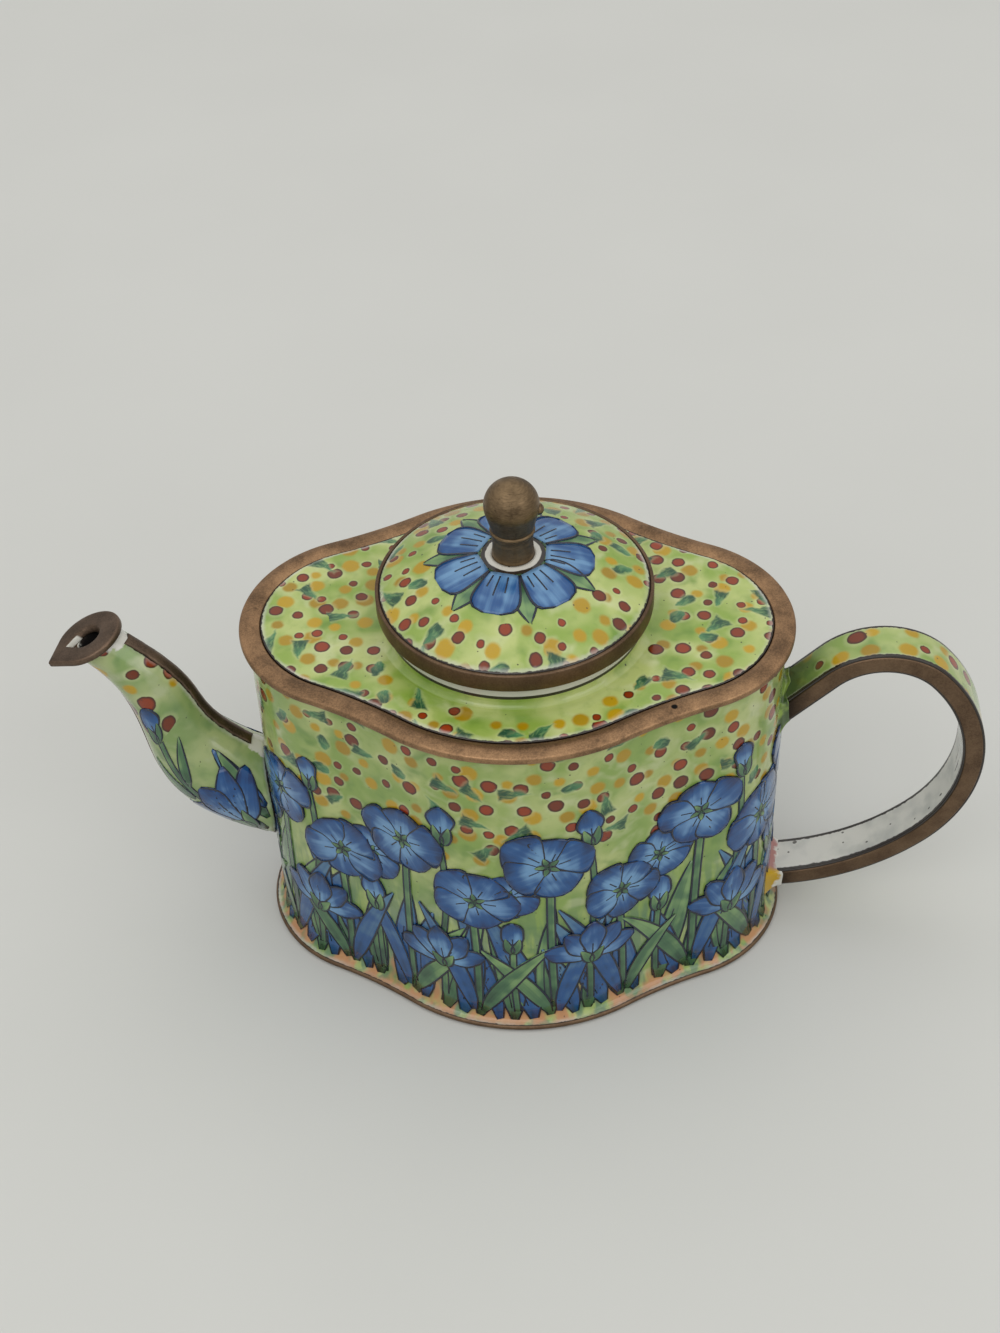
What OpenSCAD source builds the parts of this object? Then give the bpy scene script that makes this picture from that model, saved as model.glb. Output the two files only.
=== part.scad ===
// Miniature teapot of enamelled copper: a lobed oval body, a round lift-off lid with a knob,
// a curved spout made of two halves and a strap handle.
// Millimetres, +Z up. The origin is the centre of the underside, on the lid's axis.
// The spout points along -X and the handle along +X.

/* [Body outline] */
// Half of the rim's length, spout end to handle end
rim_half_length = 35.4; // [33:0.1:38]
// Half of the rim's width, front to back
rim_half_width = 25.4; // [24:0.1:27]
// Radius of the outline's two ends
end_radius = 16.5; // [15:0.1:17.5]
// Radius of the outline's front and back bulges
bulge_radius = 26.1; // [24:0.1:28]
// Radius of the hollow between a bulge and an end
waist_radius = 66; // [50:1:90]

/* [Body] */
// Height of the rim's top above the table
body_height = 51.5; // [47:0.5:60]
// Thickness of the copper sheet of the wall, base and collar
sheet = 0.8; // [0.6:0.05:1]
// Thickness of the coloured enamel coat
enamel = 0.28; // [0.2:0.02:0.35]
// Thickness of the plain enamel on inner faces and the underside
lining = 0.25; // [0.15:0.05:0.35]
// Width of the bare copper rim seen from above
rim_width = 2.8; // [2.2:0.1:3.2]
// Thickness of the rim
rim_thickness = 1.3; // [1.1:0.1:1.8]
// How far the rim stands out past the enamelled wall
rim_overhang = 1.07; // [0.6:0.01:1.2]
// How far the base plate stands out past the rim
foot_overhang = 0.6; // [0.3:0.1:1.2]
// Height of the hollow flare where the wall meets the base plate
foot_flare = 2.4; // [1.5:0.1:4]
// Bare copper left along the base plate's edge
foot_bare_edge = 0.25; // [0.15:0.05:0.5]
// Distance of the underside's enamel from the base plate's edge
base_margin = 1.2; // [0.6:0.1:3]
// Radius of the hole from the body into the spout
spout_hole_radius = 4; // [3:0.1:4.5]

/* [Shoulder and collar] */
// Thickness of the flat shoulder plate
shoulder_sheet = 0.7; // [0.5:0.05:0.8]
// How far the shoulder's enamel lies below the rim's top
shoulder_sink = 0.1; // [0.05:0.05:0.2]
// Radius of the mouth inside the collar
mouth_radius = 15.4; // [14.4:0.05:15.8]
// Height of the collar's lid seat above the rim
collar_rise = 4.4; // [3.8:0.1:5.5]
// Radius of the hollow where the collar meets the shoulder
collar_cove = 1.1; // [0.6:0.1:1.5]
// Bare copper left at the top of the collar
collar_bare = 1.4; // [1.3:0.1:2]

/* [Lid] */
// Outer radius of the lid
lid_radius = 17.5; // [17.2:0.05:18.2]
// Height of the copper band round the lid
lid_band_height = 2.5; // [2.2:0.1:3.2]
// Thickness of the copper band round the lid
lid_band_thickness = 0.5; // [0.4:0.05:0.6]
// Thickness of the lid's copper disc
lid_sheet = 0.7; // [0.5:0.05:0.9]
// Rise of the lid's domed top
lid_dome = 4.9; // [3.5:0.05:6]
// Height of the disc's edge above the seat ring
lid_edge = 0.45; // [0.3:0.05:0.6]
// Depth of the locating flange below the lid seat
flange_depth = 3.6; // [3:0.1:4.5]
// Thickness of the locating flange and of the seat ring round it
flange_thickness = 0.6; // [0.5:0.05:0.8]
// Play between the locating flange and the collar
flange_play = 0.25; // [0.2:0.05:0.4]

/* [Knob] */
// Radius of the knob's ball
ball_radius = 3.45; // [3:0.05:4]
// Height of the ball's centre above the top of the lid's disc
ball_height = 7.65; // [7.2:0.05:8.6]
// Radius of the knob's neck
neck_radius = 2.65; // [2.4:0.05:2.9]
// Height of the knob's neck
neck_height = 4; // [3.4:0.1:5]
// Radius of the bead between neck and ball
bead_radius = 0.35; // [0.2:0.05:0.5]
// Radius of the small nub on the ball's side
nub_radius = 0.8; // [0.6:0.1:1.2]
// How far the nub stands out of the ball
nub_out = 0.5; // [0.3:0.05:0.6]
// How far the nub sits below the middle of the ball
nub_drop = 0.6; // [0:0.1:1]
// Radius of the fixing screw's shank
screw_radius = 1; // [0.8:0.05:1.2]
// Depth of the fixing screw in the knob
screw_depth = 5; // [4:0.5:7]
// Radius of the fixing screw's head
screw_head_radius = 1.9; // [1.6:0.1:2.2]
// Height of the fixing screw's head
screw_head_height = 1.2; // [0.9:0.1:1.5]
// Width and depth of the slot in the screw's head
screw_slot = 0.5; // [0.3:0.05:0.6]
// Radius of the washer under the screw's head
washer_radius = 2.8; // [2.4:0.1:3.2]
// Thickness of the washer
washer_thickness = 0.4; // [0.3:0.05:0.6]
// Play of the screw in the disc and the washer
screw_play = 0.1; // [0.05:0.05:0.2]

/* [Spout] */
// Height of the spout's upper edge at the body
spout_root_top = 28.2; // [27:0.1:31]
// Height of the spout's lower edge at the body
spout_root_bottom = 12.2; // [11:0.1:14]
// Half of the spout's width at the body
spout_root_half_width = 6.1; // [5.6:0.1:7.2]
// Distance of the lip's centre from the body
spout_reach = 21; // [18:0.1:24]
// Height of the lip's centre above the table
spout_lip_height = 47; // [43:0.1:50]
// Half of the spout's length across, at the lip
spout_lip_half_length = 3.5; // [3.2:0.1:4]
// Half of the spout's width at the lip
spout_lip_half_width = 3.3; // [3.1:0.1:4]
// Tilt of the lip from level
spout_lip_tilt = 22; // [18:1:30]
// How fast the spout's width narrows towards the lip
spout_taper_power = 1.4; // [1:0.1:2]
// How sharply the spout's section narrows towards its seams; 1 gives an oval
spout_edge_power = 1.5; // [1:0.1:1.7]
// Pull of the upper edge at the body
top_root_pull_length = 15.2; // [12:0.1:17]
// Slope of the upper edge at the body
top_root_slope = 35; // [28:1:40]
// Pull of the upper edge at the lip
top_lip_pull_length = 17.8; // [14:0.1:19]
// Slope of the upper edge at the lip
top_lip_slope = 39; // [32:1:44]
// Pull of the lower edge at the body
bottom_root_pull_length = 25.3; // [22:0.1:28]
// Slope of the lower edge at the body
bottom_root_slope = 16; // [10:1:22]
// Pull of the lower edge at the lip
bottom_lip_pull_length = 19.2; // [16:0.1:22]
// Slope of the lower edge at the lip
bottom_lip_slope = 43; // [38:1:50]
// Thickness of the spout's copper
spout_sheet = 0.65; // [0.5:0.05:0.8]
// Bare copper line between the spout's enamel and the body's
spout_joint_line = 0.35; // [0.2:0.05:0.6]
// Width of the seam strip along the top
seam_width = 1.8; // [1.4:0.1:2.4]
// Thickness of the seam strip along the top
seam_sheet = 0.3; // [0.2:0.05:0.4]
// Width of the seam strip along the underside
underside_seam_width = 0.9; // [0.7:0.1:1.4]
// Thickness of the seam strip along the underside
underside_seam_sheet = 0.15; // [0.12:0.01:0.3]
// Solder gap between a seam strip and the enamel under it
seam_gap = 0.05; // [0.04:0.01:0.1]
// Where the strips begin, as a share of the spout's length
seam_start_share = 0.05; // [0.04:0.01:0.1]
// Where the strips end, as a share of the spout's length
seam_end_share = 0.97; // [0.92:0.01:0.98]

/* [Spout lip] */
// Half of the lip plate's width
lip_half_width = 4.7; // [4.4:0.1:5.4]
// Distance from the lip's round centre to its pointed tip
lip_tip = 6.1; // [5.6:0.1:7.2]
// Turn of the lip plate on the end of the spout, its tip towards the front
lip_turn = 30; // [0:1:36]
// Thickness of the lip plate
lip_thickness = 0.9; // [0.6:0.1:1.2]
// How far the lip plate stands past the tube at its round end
lip_margin = 0.7; // [0.6:0.1:1.2]
// Half of the pouring hole's width
hole_half_width = 1.6; // [1.4:0.1:2]
// Distance from the hole's round centre to its pointed tip
hole_tip = 2.6; // [2.4:0.1:3]
// Shift of the hole from the middle of the tube's end towards the tip
hole_shift = 0.7; // [0.2:0.1:0.9]
// Turn of the pouring hole, its tip towards the front
hole_turn = 10; // [0:1:15]

/* [Handle] */
// Width of the handle strap
handle_width = 6.2; // [5:0.1:8]
// Thickness of the handle with its enamel
handle_thickness = 2.9; // [2.2:0.1:3.4]
// Height of the strap's upper end on the wall
handle_top = 37.3; // [35:0.1:39]
// Slope of the strap where it leaves the wall
handle_slope = 46; // [40:1:52]
// Length of the straight stretch at the upper end
handle_straight = 8.8; // [8:0.1:10]
// Radius of the upper bend
handle_top_radius = 9.7; // [9:0.1:10.5]
// Turn of the upper bend
handle_top_turn = 93; // [90:1:96]
// Radius of the outer bend
handle_outer_radius = 20.6; // [19:0.1:22]
// Turn of the outer bend
handle_outer_turn = 88; // [85:1:92]
// Radius of the lower bend
handle_lower_radius = 30.8; // [28:0.2:34]
// Bare copper beside the handle's enamel
handle_bare_edge = 0.15; // [0.1:0.05:0.4]

/* [Hidden] */
$fn = 96;

copper = "peru";
dark_copper = "saddlebrown";
green_enamel = "yellowgreen";
white_enamel = "white";
steel = "silver";

// Room left round a piece that passes through an enamel coat
coat_gap = 0.03;
// Extra length of a cutting tool past the face it cuts
over = 1;
// How far a drop's straight sides run into its round end
drop_overlap = 0.1;

// Levels, from the table upwards
base_bottom = lining;
base_top = base_bottom + sheet;
flare_top = base_top + foot_flare;
rim_bottom = body_height - rim_thickness;
shoulder_top = body_height - shoulder_sink - enamel;
shoulder_bottom = shoulder_top - shoulder_sheet;
shoulder_finish = shoulder_top + enamel;
seat_z = body_height + collar_rise;

// Offsets of the walls from the rim's outline
wall_finish = -rim_overhang;
wall_outside = wall_finish - enamel;
wall_inside = wall_outside - sheet;
wall_end = rim_half_length + wall_outside;
wall_end_radius = end_radius + wall_outside;

// Centres of the outline's arcs; the waist circle touches an end circle and a bulge circle
end_centre = [rim_half_length - end_radius, 0];
bulge_centre = [0, rim_half_width - bulge_radius];
centre_step = bulge_centre - end_centre;
centre_distance = norm(centre_step);
waist_to_end = end_radius + waist_radius;
waist_to_bulge = bulge_radius + waist_radius;
waist_along = (waist_to_end ^ 2 - waist_to_bulge ^ 2 + centre_distance ^ 2) / (2 * centre_distance);
waist_across = sqrt(waist_to_end ^ 2 - waist_along ^ 2);
waist_centre = end_centre
    + waist_along * centre_step / centre_distance
    + waist_across * [centre_step[1], -centre_step[0]] / centre_distance;
bulge_angle = atan2(waist_centre[1] - bulge_centre[1], waist_centre[0] - bulge_centre[0]);
end_angle = atan2(waist_centre[1] - end_centre[1], waist_centre[0] - end_centre[0]);

// Points on each arc of a quarter outline, and levels of the flare above the base plate
bulge_steps = 10;
waist_steps = 5;
end_steps = 12;
flare_steps = 5;

// Collar and lid
collar_radius = mouth_radius + sheet;
collar_finish = collar_radius + enamel;
cove_centre = [collar_finish + collar_cove, shoulder_finish + collar_cove];
collar_coat_top = seat_z - collar_bare;
lid_inner_radius = lid_radius - lid_band_thickness;
flange_radius = mouth_radius - flange_play;
flange_inner_radius = flange_radius - flange_thickness;
seat_ring_top = seat_z + flange_thickness;
lid_disc_edge = seat_ring_top + lid_edge;
dome_radius = (lid_inner_radius ^ 2 + lid_dome ^ 2) / (2 * lid_dome);
disc_crown = lid_disc_edge + lid_dome;
dome_centre = disc_crown - dome_radius;
lid_band_top = dome_centre + sqrt((dome_radius + enamel) ^ 2 - lid_inner_radius ^ 2);
knob_hole = neck_radius + coat_gap;
screw_hole = screw_radius + screw_play;
washer_top = dome_centre + sqrt((dome_radius - lid_sheet) ^ 2 - washer_radius ^ 2);

// Spout
spout_stub = enamel + spout_joint_line;
lip_direction = [cos(spout_lip_tilt), -sin(spout_lip_tilt)];
lip_middle = [spout_reach, spout_lip_height];
top_lip_end = lip_middle - spout_lip_half_length * lip_direction;
bottom_lip_end = lip_middle + spout_lip_half_length * lip_direction;
top_root_end = [spout_stub, spout_root_top];
bottom_root_end = [spout_stub, spout_root_bottom];
spout_top_curve = [
    top_root_end,
    top_root_end + top_root_pull_length * [cos(top_root_slope), sin(top_root_slope)],
    top_lip_end - top_lip_pull_length * [cos(top_lip_slope), sin(top_lip_slope)],
    top_lip_end
];
spout_bottom_curve = [
    bottom_root_end,
    bottom_root_end + bottom_root_pull_length * [cos(bottom_root_slope), sin(bottom_root_slope)],
    bottom_lip_end - bottom_lip_pull_length * [cos(bottom_lip_slope), sin(bottom_lip_slope)],
    bottom_lip_end
];
spout_hole_z = (spout_root_top + spout_root_bottom) / 2;
spout_row_count = 16;
spout_column_count = 12;
seam_column_count = 4;
seam_shares = [for (i = [0 : spout_row_count]) seam_start_share + (seam_end_share - seam_start_share) * i / spout_row_count];
spout_shares = concat([0], seam_shares, [1]);
lip_disc_centre = lip_half_width - spout_lip_half_length - lip_margin;

// Handle
handle_half = handle_thickness / 2;
strap_half = handle_half - enamel;
handle_coat_width = handle_width - 2 * handle_bare_edge;
handle_root = 4;
bend_step = 4;
top_bend_start = [wall_end, handle_top] + handle_straight * [cos(handle_slope), sin(handle_slope)];
top_bend_centre = top_bend_start + handle_top_radius * [sin(handle_slope), -cos(handle_slope)];
outer_heading = handle_slope - handle_top_turn;
outer_bend_centre = top_bend_centre
    + (handle_outer_radius - handle_top_radius) * [sin(outer_heading), -cos(outer_heading)];
lower_heading = outer_heading - handle_outer_turn;
lower_bend_centre = outer_bend_centre
    + (handle_lower_radius - handle_outer_radius) * [sin(lower_heading), -cos(lower_heading)];
lower_turn = lower_heading + 90 + acos((lower_bend_centre[0] - wall_end + handle_root) / handle_lower_radius);

// Polar point at an angle round a centre
function on_circle(centre, radius, angle) = centre + radius * [cos(angle), sin(angle)];

// Quarter of the body's outline, grown by an offset, from the back bulge to the handle end
function quarter(grow) = concat(
    [for (i = [0 : bulge_steps])
        on_circle(bulge_centre, bulge_radius + grow, 90 + (bulge_angle - 90) * i / bulge_steps)],
    [for (i = [1 : waist_steps])
        on_circle(waist_centre, waist_radius - grow,
            bulge_angle + 180 + (end_angle - bulge_angle) * i / waist_steps)],
    [for (i = [1 : end_steps])
        on_circle(end_centre, end_radius + grow, end_angle * (1 - i / end_steps))]
);

// Whole outline as points, clockwise from the back
function outline_points(grow) = let (part = quarter(grow), last = len(part) - 1) concat(
    part,
    [for (i = [last - 1 : -1 : 0]) [part[i][0], -part[i][1]]],
    [for (i = [1 : last]) [-part[i][0], -part[i][1]]],
    [for (i = [last - 1 : -1 : 1]) [-part[i][0], part[i][1]]]
);

// Two triangles of the grid cell at a row and a column, counted from a first point
function cell(first, columns, row, column, next) = let (
    a = first + row * columns + column,
    b = first + row * columns + next,
    c = first + (row + 1) * columns + next,
    d = first + (row + 1) * columns + column
) [[a, b, c], [a, c, d]];

// The same triangles with their faces turned over
function turned(triangles) = [for (t = triangles) [t[2], t[1], t[0]]];

// One level of nesting taken away
function joined(lists) = [for (list = lists) each list];

// Point at a share t of a curve with four control points
function bezier(p, t) =
    (1 - t) ^ 3 * p[0] + 3 * (1 - t) ^ 2 * t * p[1] + 3 * (1 - t) * t ^ 2 * p[2] + t ^ 3 * p[3];

// Half of the spout's width at a share of its length
function spout_half_width(t) =
    spout_lip_half_width + (spout_root_half_width - spout_lip_half_width) * (1 - t) ^ spout_taper_power;

// How far the body's round end falls back at a distance from the middle
function wall_fall(y) = wall_end_radius - sqrt(wall_end_radius ^ 2 - y ^ 2);

// Share of the spout's half width at an angle from the top over the front
function spout_side(angle) = sign(sin(angle)) * abs(sin(angle)) ^ spout_edge_power;

// Point of the spout: share of its length, angle from the top over the front, offset, setback
function spout_point(t, angle, grow, setback) = let (
    upper = bezier(spout_top_curve, t),
    lower = bezier(spout_bottom_curve, t),
    half = (upper - lower) / 2,
    across = (spout_half_width(t) + grow) * spout_side(angle),
    place = (upper + lower) / 2 + half * (1 + grow / norm(half)) * cos(angle)
) [-(wall_end + place[0] - setback - wall_fall(across) * (1 - t) ^ 4), -across, place[1]];

// Row of spout points between two angles
function spout_row(t, from, to, columns, grow, setback = 0) =
    [for (i = [0 : columns]) spout_point(t, from + (to - from) * i / columns, grow, setback)];

// Half angle that a seam strip of some width covers on the spout
function seam_angle(t, width) = asin((width / 2 / spout_half_width(t)) ^ (1 / spout_edge_power));

// Points of a clockwise bend at an offset from its middle line
function bend(centre, radius, heading, turn, offset) = [
    for (i = [0 : ceil(turn / bend_step)])
        on_circle(centre, radius + offset, heading + 90 - turn * i / ceil(turn / bend_step))
];

// Line of the handle at an offset from its middle, from the upper end round to the lower
function handle_line(offset) = concat(
    [[wall_end, handle_top] + offset * [-sin(handle_slope), cos(handle_slope)]
        - handle_root * [cos(handle_slope), sin(handle_slope)]],
    bend(top_bend_centre, handle_top_radius, handle_slope, handle_top_turn, offset),
    bend(outer_bend_centre, handle_outer_radius, outer_heading, handle_outer_turn, offset),
    bend(lower_bend_centre, handle_lower_radius, lower_heading, lower_turn, offset)
);

// A list from its last entry to its first
function reversed(list) = [for (i = [len(list) - 1 : -1 : 0]) list[i]];

// Body outline grown by an offset
module outline(grow) {
    polygon(outline_points(grow));
}

// Plate of the body's outline between two levels
module slab(grow, bottom, top) {
    translate([0, 0, bottom]) linear_extrude(top - bottom) outline(grow);
}

// Band between two offsets of the body's outline
module band(outside, inside, bottom, top) {
    translate([0, 0, bottom]) linear_extrude(top - bottom) {
        difference() {
            outline(outside);
            outline(inside);
        }
    }
}

// Ring of revolution about the lid's axis, from a profile of radius and height
module turn_ring(inside, outside, bottom, top) {
    rotate_extrude() translate([inside, bottom]) square([outside - inside, top - bottom]);
}

// Hole from the body into the spout
module spout_bore() {
    translate([-wall_end, 0, spout_hole_z])
        rotate([0, 90, 0]) cylinder(r = spout_hole_radius, h = 4 * sheet, center = true);
}

// Room in the body's enamel for the spout's root
module spout_root_cut() {
    grow = coat_gap - enamel;
    turns = 2 * spout_column_count;
    ring = spout_row(0, 0, 360 - 360 / turns, turns - 1, grow);
    translate([-wall_end + wall_fall(spout_root_half_width) + over, 0, 0])
        rotate([0, -90, 0])
            linear_extrude(2 * over + wall_fall(spout_root_half_width))
                polygon([for (p = ring) [p[2], p[1]]]);
}

// Solid between two grids of points, each a list of rows; a closed grid wraps round
module grid_solid(outer, inner, closed = false) {
    rows = len(outer);
    columns = len(outer[0]);
    count = rows * columns;
    wraps = closed ? columns - 1 : columns - 2;
    skin = joined([
        for (r = [0 : rows - 2], c = [0 : wraps]) cell(0, columns, r, c, (c + 1) % columns)
    ]);
    lined = joined([
        for (r = [0 : rows - 2], c = [0 : wraps]) cell(count, columns, r, c, (c + 1) % columns)
    ]);
    ends = joined([
        for (c = [0 : wraps]) let (n = (c + 1) % columns, e = (rows - 1) * columns) [
            [c, count + n, n], [c, count + c, count + n],
            [e + c, e + n, count + e + n], [e + c, count + e + n, count + e + c]
        ]
    ]);
    sides = closed ? [] : joined([
        for (r = [0 : rows - 2]) let (a = r * columns, b = a + columns, k = columns - 1) [
            [a, b, count + b], [a, count + b, count + a],
            [a + k, count + b + k, b + k], [a + k, count + a + k, count + b + k]
        ]
    ]);
    polyhedron(concat(joined(outer), joined(inner)), concat(skin, turned(lined), ends, sides));
}

// Copper half of the spout, from an angle on, with its short root on the wall
module spout_half(from) {
    outside = -enamel;
    inside = outside - spout_sheet;
    to = from + 180;
    grid_solid(
        concat([spout_row(0, from, to, spout_column_count, outside, spout_stub)],
            [for (t = spout_shares) spout_row(t, from, to, spout_column_count, outside)]),
        concat([spout_row(0, from, to, spout_column_count, inside, spout_stub)],
            [for (t = spout_shares) spout_row(t, from, to, spout_column_count, inside)])
    );
}

// Enamel on one half of the spout, from an angle on
module spout_half_coat(from) {
    grid_solid(
        [for (t = spout_shares) spout_row(t, from, from + 180, spout_column_count, 0)],
        [for (t = spout_shares) spout_row(t, from, from + 180, spout_column_count, -enamel)]
    );
}

// Strip over a seam of the spout, centred at an angle from the top
module seam_strip(middle, width, thickness) {
    function strip_rows(grow) = [
        for (t = seam_shares) let (half = seam_angle(t, width))
            spout_row(t, middle - half, middle + half, seam_column_count, grow)
    ];
    grid_solid(strip_rows(seam_gap + thickness), strip_rows(seam_gap));
}

// Drop outline: a round end about the origin and straight sides to a point along +X
module drop(half_width, tip) {
    side_angle = acos(half_width / tip);
    inside = half_width - drop_overlap;
    circle(r = half_width);
    polygon([
        [tip, 0],
        inside * [cos(side_angle), sin(side_angle)],
        inside * [cos(side_angle), -sin(side_angle)]
    ]);
}

// Side view of the handle between two offsets from its middle line
module handle_profile(inside, outside) {
    polygon(concat(handle_line(outside), reversed(handle_line(inside))));
}

// Handle strap of a given width between two offsets, run on into the body
module handle_run(inside, outside, width) {
    rotate([90, 0, 0]) linear_extrude(width, center = true) handle_profile(inside, outside);
}

// Handle layer that ends at an offset of the body's outline
module handle_layer(inside, outside, width, wall) {
    difference() {
        handle_run(inside, outside, width);
        slab(wall, 0, body_height);
    }
}

// Half plane right of the axis, for profiles that are turned about it
module right_side() {
    translate([0, -body_height]) square([2 * rim_half_length, 4 * body_height]);
}

// Profile between two domes about the lid's centre of curvature, within two radii, above a level
module dome_profile(below, above, inside, outside, bottom) {
    difference() {
        intersection() {
            translate([0, dome_centre]) circle(r = dome_radius + above);
            translate([inside, bottom]) square([outside - inside, 2 * lid_dome]);
        }
        translate([0, dome_centre]) circle(r = dome_radius + below);
    }
}

module base_plate() {
    color(dark_copper) slab(foot_overhang, base_bottom, base_top);
}

module base_enamel() {
    color(white_enamel) slab(foot_overhang - base_margin, 0, base_bottom);
}

module body_wall() {
    color(copper) difference() {
        band(wall_outside, wall_inside, base_top, rim_bottom);
        spout_bore();
    }
}

module body_enamel() {
    color(green_enamel) difference() {
        band(wall_finish, wall_outside, flare_top, rim_bottom);
        spout_root_cut();
        handle_run(-strap_half - coat_gap, strap_half + coat_gap, handle_width + 2 * coat_gap);
    }
}

module foot_enamel() {
    flare_width = foot_overhang - foot_bare_edge - wall_finish;
    outer = [
        for (i = [0 : flare_steps]) let (angle = 90 * i / flare_steps)
            [wall_finish + flare_width * (1 - sin(angle)), base_top + foot_flare * (1 - cos(angle))]
    ];
    inner = [for (p = outer) [wall_outside + coat_gap, p[1]]];
    color(green_enamel) grid_solid(
        [for (p = outer) [for (q = outline_points(p[0])) [q[0], q[1], p[1]]]],
        [for (p = inner) [for (q = outline_points(p[0])) [q[0], q[1], p[1]]]],
        closed = true
    );
}

module interior_enamel() {
    color(white_enamel) difference() {
        slab(wall_inside, base_top, rim_bottom);
        slab(wall_inside - lining, base_top + lining, rim_bottom + over);
        spout_bore();
    }
}

module rim_band() {
    color(copper) band(0, -rim_width, rim_bottom, body_height);
}

module shoulder_plate() {
    color(copper) difference() {
        slab(-rim_width, shoulder_bottom, shoulder_top);
        cylinder(r = collar_radius, h = 2 * body_height);
    }
}

module shoulder_enamel() {
    color(green_enamel) difference() {
        slab(-rim_width, shoulder_top, shoulder_finish);
        cylinder(r = cove_centre[0], h = 2 * body_height);
    }
}

module collar_ring() {
    color(copper) turn_ring(mouth_radius, collar_radius, shoulder_bottom, seat_z);
}

module collar_enamel() {
    color(white_enamel) rotate_extrude() difference() {
        union() {
            translate([collar_radius, shoulder_top])
                square([enamel, collar_coat_top - shoulder_top]);
            translate([collar_radius, shoulder_top])
                square(cove_centre - [collar_radius, shoulder_top]);
        }
        translate(cove_centre) circle(r = collar_cove);
    }
}

module spout_front_half() {
    color(copper) spout_half(0);
}

module spout_rear_half() {
    color(copper) spout_half(180);
}

module spout_front_enamel() {
    color(green_enamel) spout_half_coat(0);
}

module spout_rear_enamel() {
    color(green_enamel) spout_half_coat(180);
}

module spout_lining() {
    turns = 2 * spout_column_count;
    last = 360 - 360 / turns;
    outside = -enamel - spout_sheet;
    color(white_enamel) grid_solid(
        [for (t = spout_shares) spout_row(t, 0, last, turns - 1, outside)],
        [for (t = spout_shares) spout_row(t, 0, last, turns - 1, outside - lining)],
        closed = true
    );
}

module spout_top_seam() {
    color(dark_copper) seam_strip(0, seam_width, seam_sheet);
}

module spout_bottom_seam() {
    color(dark_copper) seam_strip(180, underside_seam_width, underside_seam_sheet);
}

module spout_lip() {
    color(dark_copper)
        translate([-(wall_end + spout_reach), 0, spout_lip_height])
            rotate([0, -spout_lip_tilt, 0])
                mirror([1, 0, 0])
                    linear_extrude(lip_thickness) difference() {
                        translate([lip_disc_centre, 0]) rotate(-lip_turn) drop(lip_half_width, lip_tip);
                        translate([hole_shift, 0]) rotate(-hole_turn) drop(hole_half_width, hole_tip);
                    }
}

module handle_strap() {
    color(copper) handle_layer(-strap_half, strap_half, handle_width, wall_outside);
}

module handle_outer_enamel() {
    color(green_enamel) handle_layer(strap_half, handle_half, handle_coat_width, wall_finish + coat_gap);
}

module handle_inner_enamel() {
    color(white_enamel)
        handle_layer(-handle_half, -strap_half, handle_coat_width, wall_finish + coat_gap);
}

module lid_flange() {
    color(copper) turn_ring(flange_inner_radius, flange_radius, seat_z - flange_depth, seat_ring_top);
}

module lid_seat_ring() {
    color(copper) turn_ring(flange_radius, lid_inner_radius, seat_z, seat_ring_top);
}

module lid_disc() {
    color(copper) rotate_extrude()
        dome_profile(-lid_sheet, 0, screw_hole, lid_inner_radius, seat_ring_top);
}

module lid_rim_band() {
    color(dark_copper)
        turn_ring(lid_inner_radius, lid_radius, lid_band_top - lid_band_height, lid_band_top);
}

module lid_enamel() {
    color(green_enamel) rotate_extrude()
        dome_profile(0, enamel, knob_hole, lid_inner_radius, seat_ring_top);
}

module lid_lining() {
    color(white_enamel) rotate_extrude()
        dome_profile(-lid_sheet - lining, -lid_sheet,
            washer_radius + coat_gap, flange_inner_radius, seat_ring_top);
}

module knob() {
    ball_z = disc_crown + ball_height;
    neck_top = disc_crown + neck_height;
    egg_angle = 20;
    egg_radius = ball_radius * cos(egg_angle);
    egg_z = ball_z - ball_radius * sin(egg_angle);
    color(dark_copper) {
        rotate_extrude() difference() {
            intersection() {
                union() {
                    translate([0, ball_z]) circle(r = ball_radius);
                    polygon([[0, neck_top], [neck_radius, neck_top], [egg_radius, egg_z], [0, egg_z]]);
                    translate([neck_radius - bead_radius / 2, neck_top]) circle(r = bead_radius);
                    translate([0, dome_centre]) square([neck_radius, neck_top - dome_centre]);
                }
                right_side();
            }
            translate([0, dome_centre]) circle(r = dome_radius);
            translate([0, dome_centre]) square([screw_radius, disc_crown - dome_centre + screw_depth]);
        }
        translate([ball_radius + nub_out - nub_radius, 0, ball_z - nub_drop]) sphere(r = nub_radius);
    }
}

module knob_screw() {
    head_top = washer_top - washer_thickness;
    color(steel) difference() {
        union() {
            translate([0, 0, head_top]) cylinder(r = screw_radius, h = disc_crown + screw_depth - head_top);
            translate([0, 0, head_top - screw_head_height])
                cylinder(r = screw_head_radius, h = screw_head_height);
        }
        translate([0, 0, head_top - screw_head_height])
            cube([3 * screw_head_radius, screw_slot, 2 * screw_slot], center = true);
    }
}

module knob_washer() {
    color(steel)
        turn_ring(screw_hole, washer_radius, washer_top - washer_thickness, washer_top);
}

base_plate();
base_enamel();
body_wall();
body_enamel();
foot_enamel();
interior_enamel();
rim_band();
shoulder_plate();
shoulder_enamel();
collar_ring();
collar_enamel();
spout_front_half();
spout_rear_half();
spout_front_enamel();
spout_rear_enamel();
spout_lining();
spout_top_seam();
spout_bottom_seam();
spout_lip();
handle_strap();
handle_outer_enamel();
handle_inner_enamel();
lid_flange();
lid_seat_ring();
lid_disc();
lid_rim_band();
lid_enamel();
lid_lining();
knob();
knob_screw();
knob_washer();
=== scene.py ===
"""Looks of a miniature teapot of enamelled copper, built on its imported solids.

Sizes are in millimetres until a mesh is made. The handle is towards +X and the front towards -Y.
"""

import math

import bmesh
import bpy
import numpy as np
from mathutils import Matrix, Vector


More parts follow.
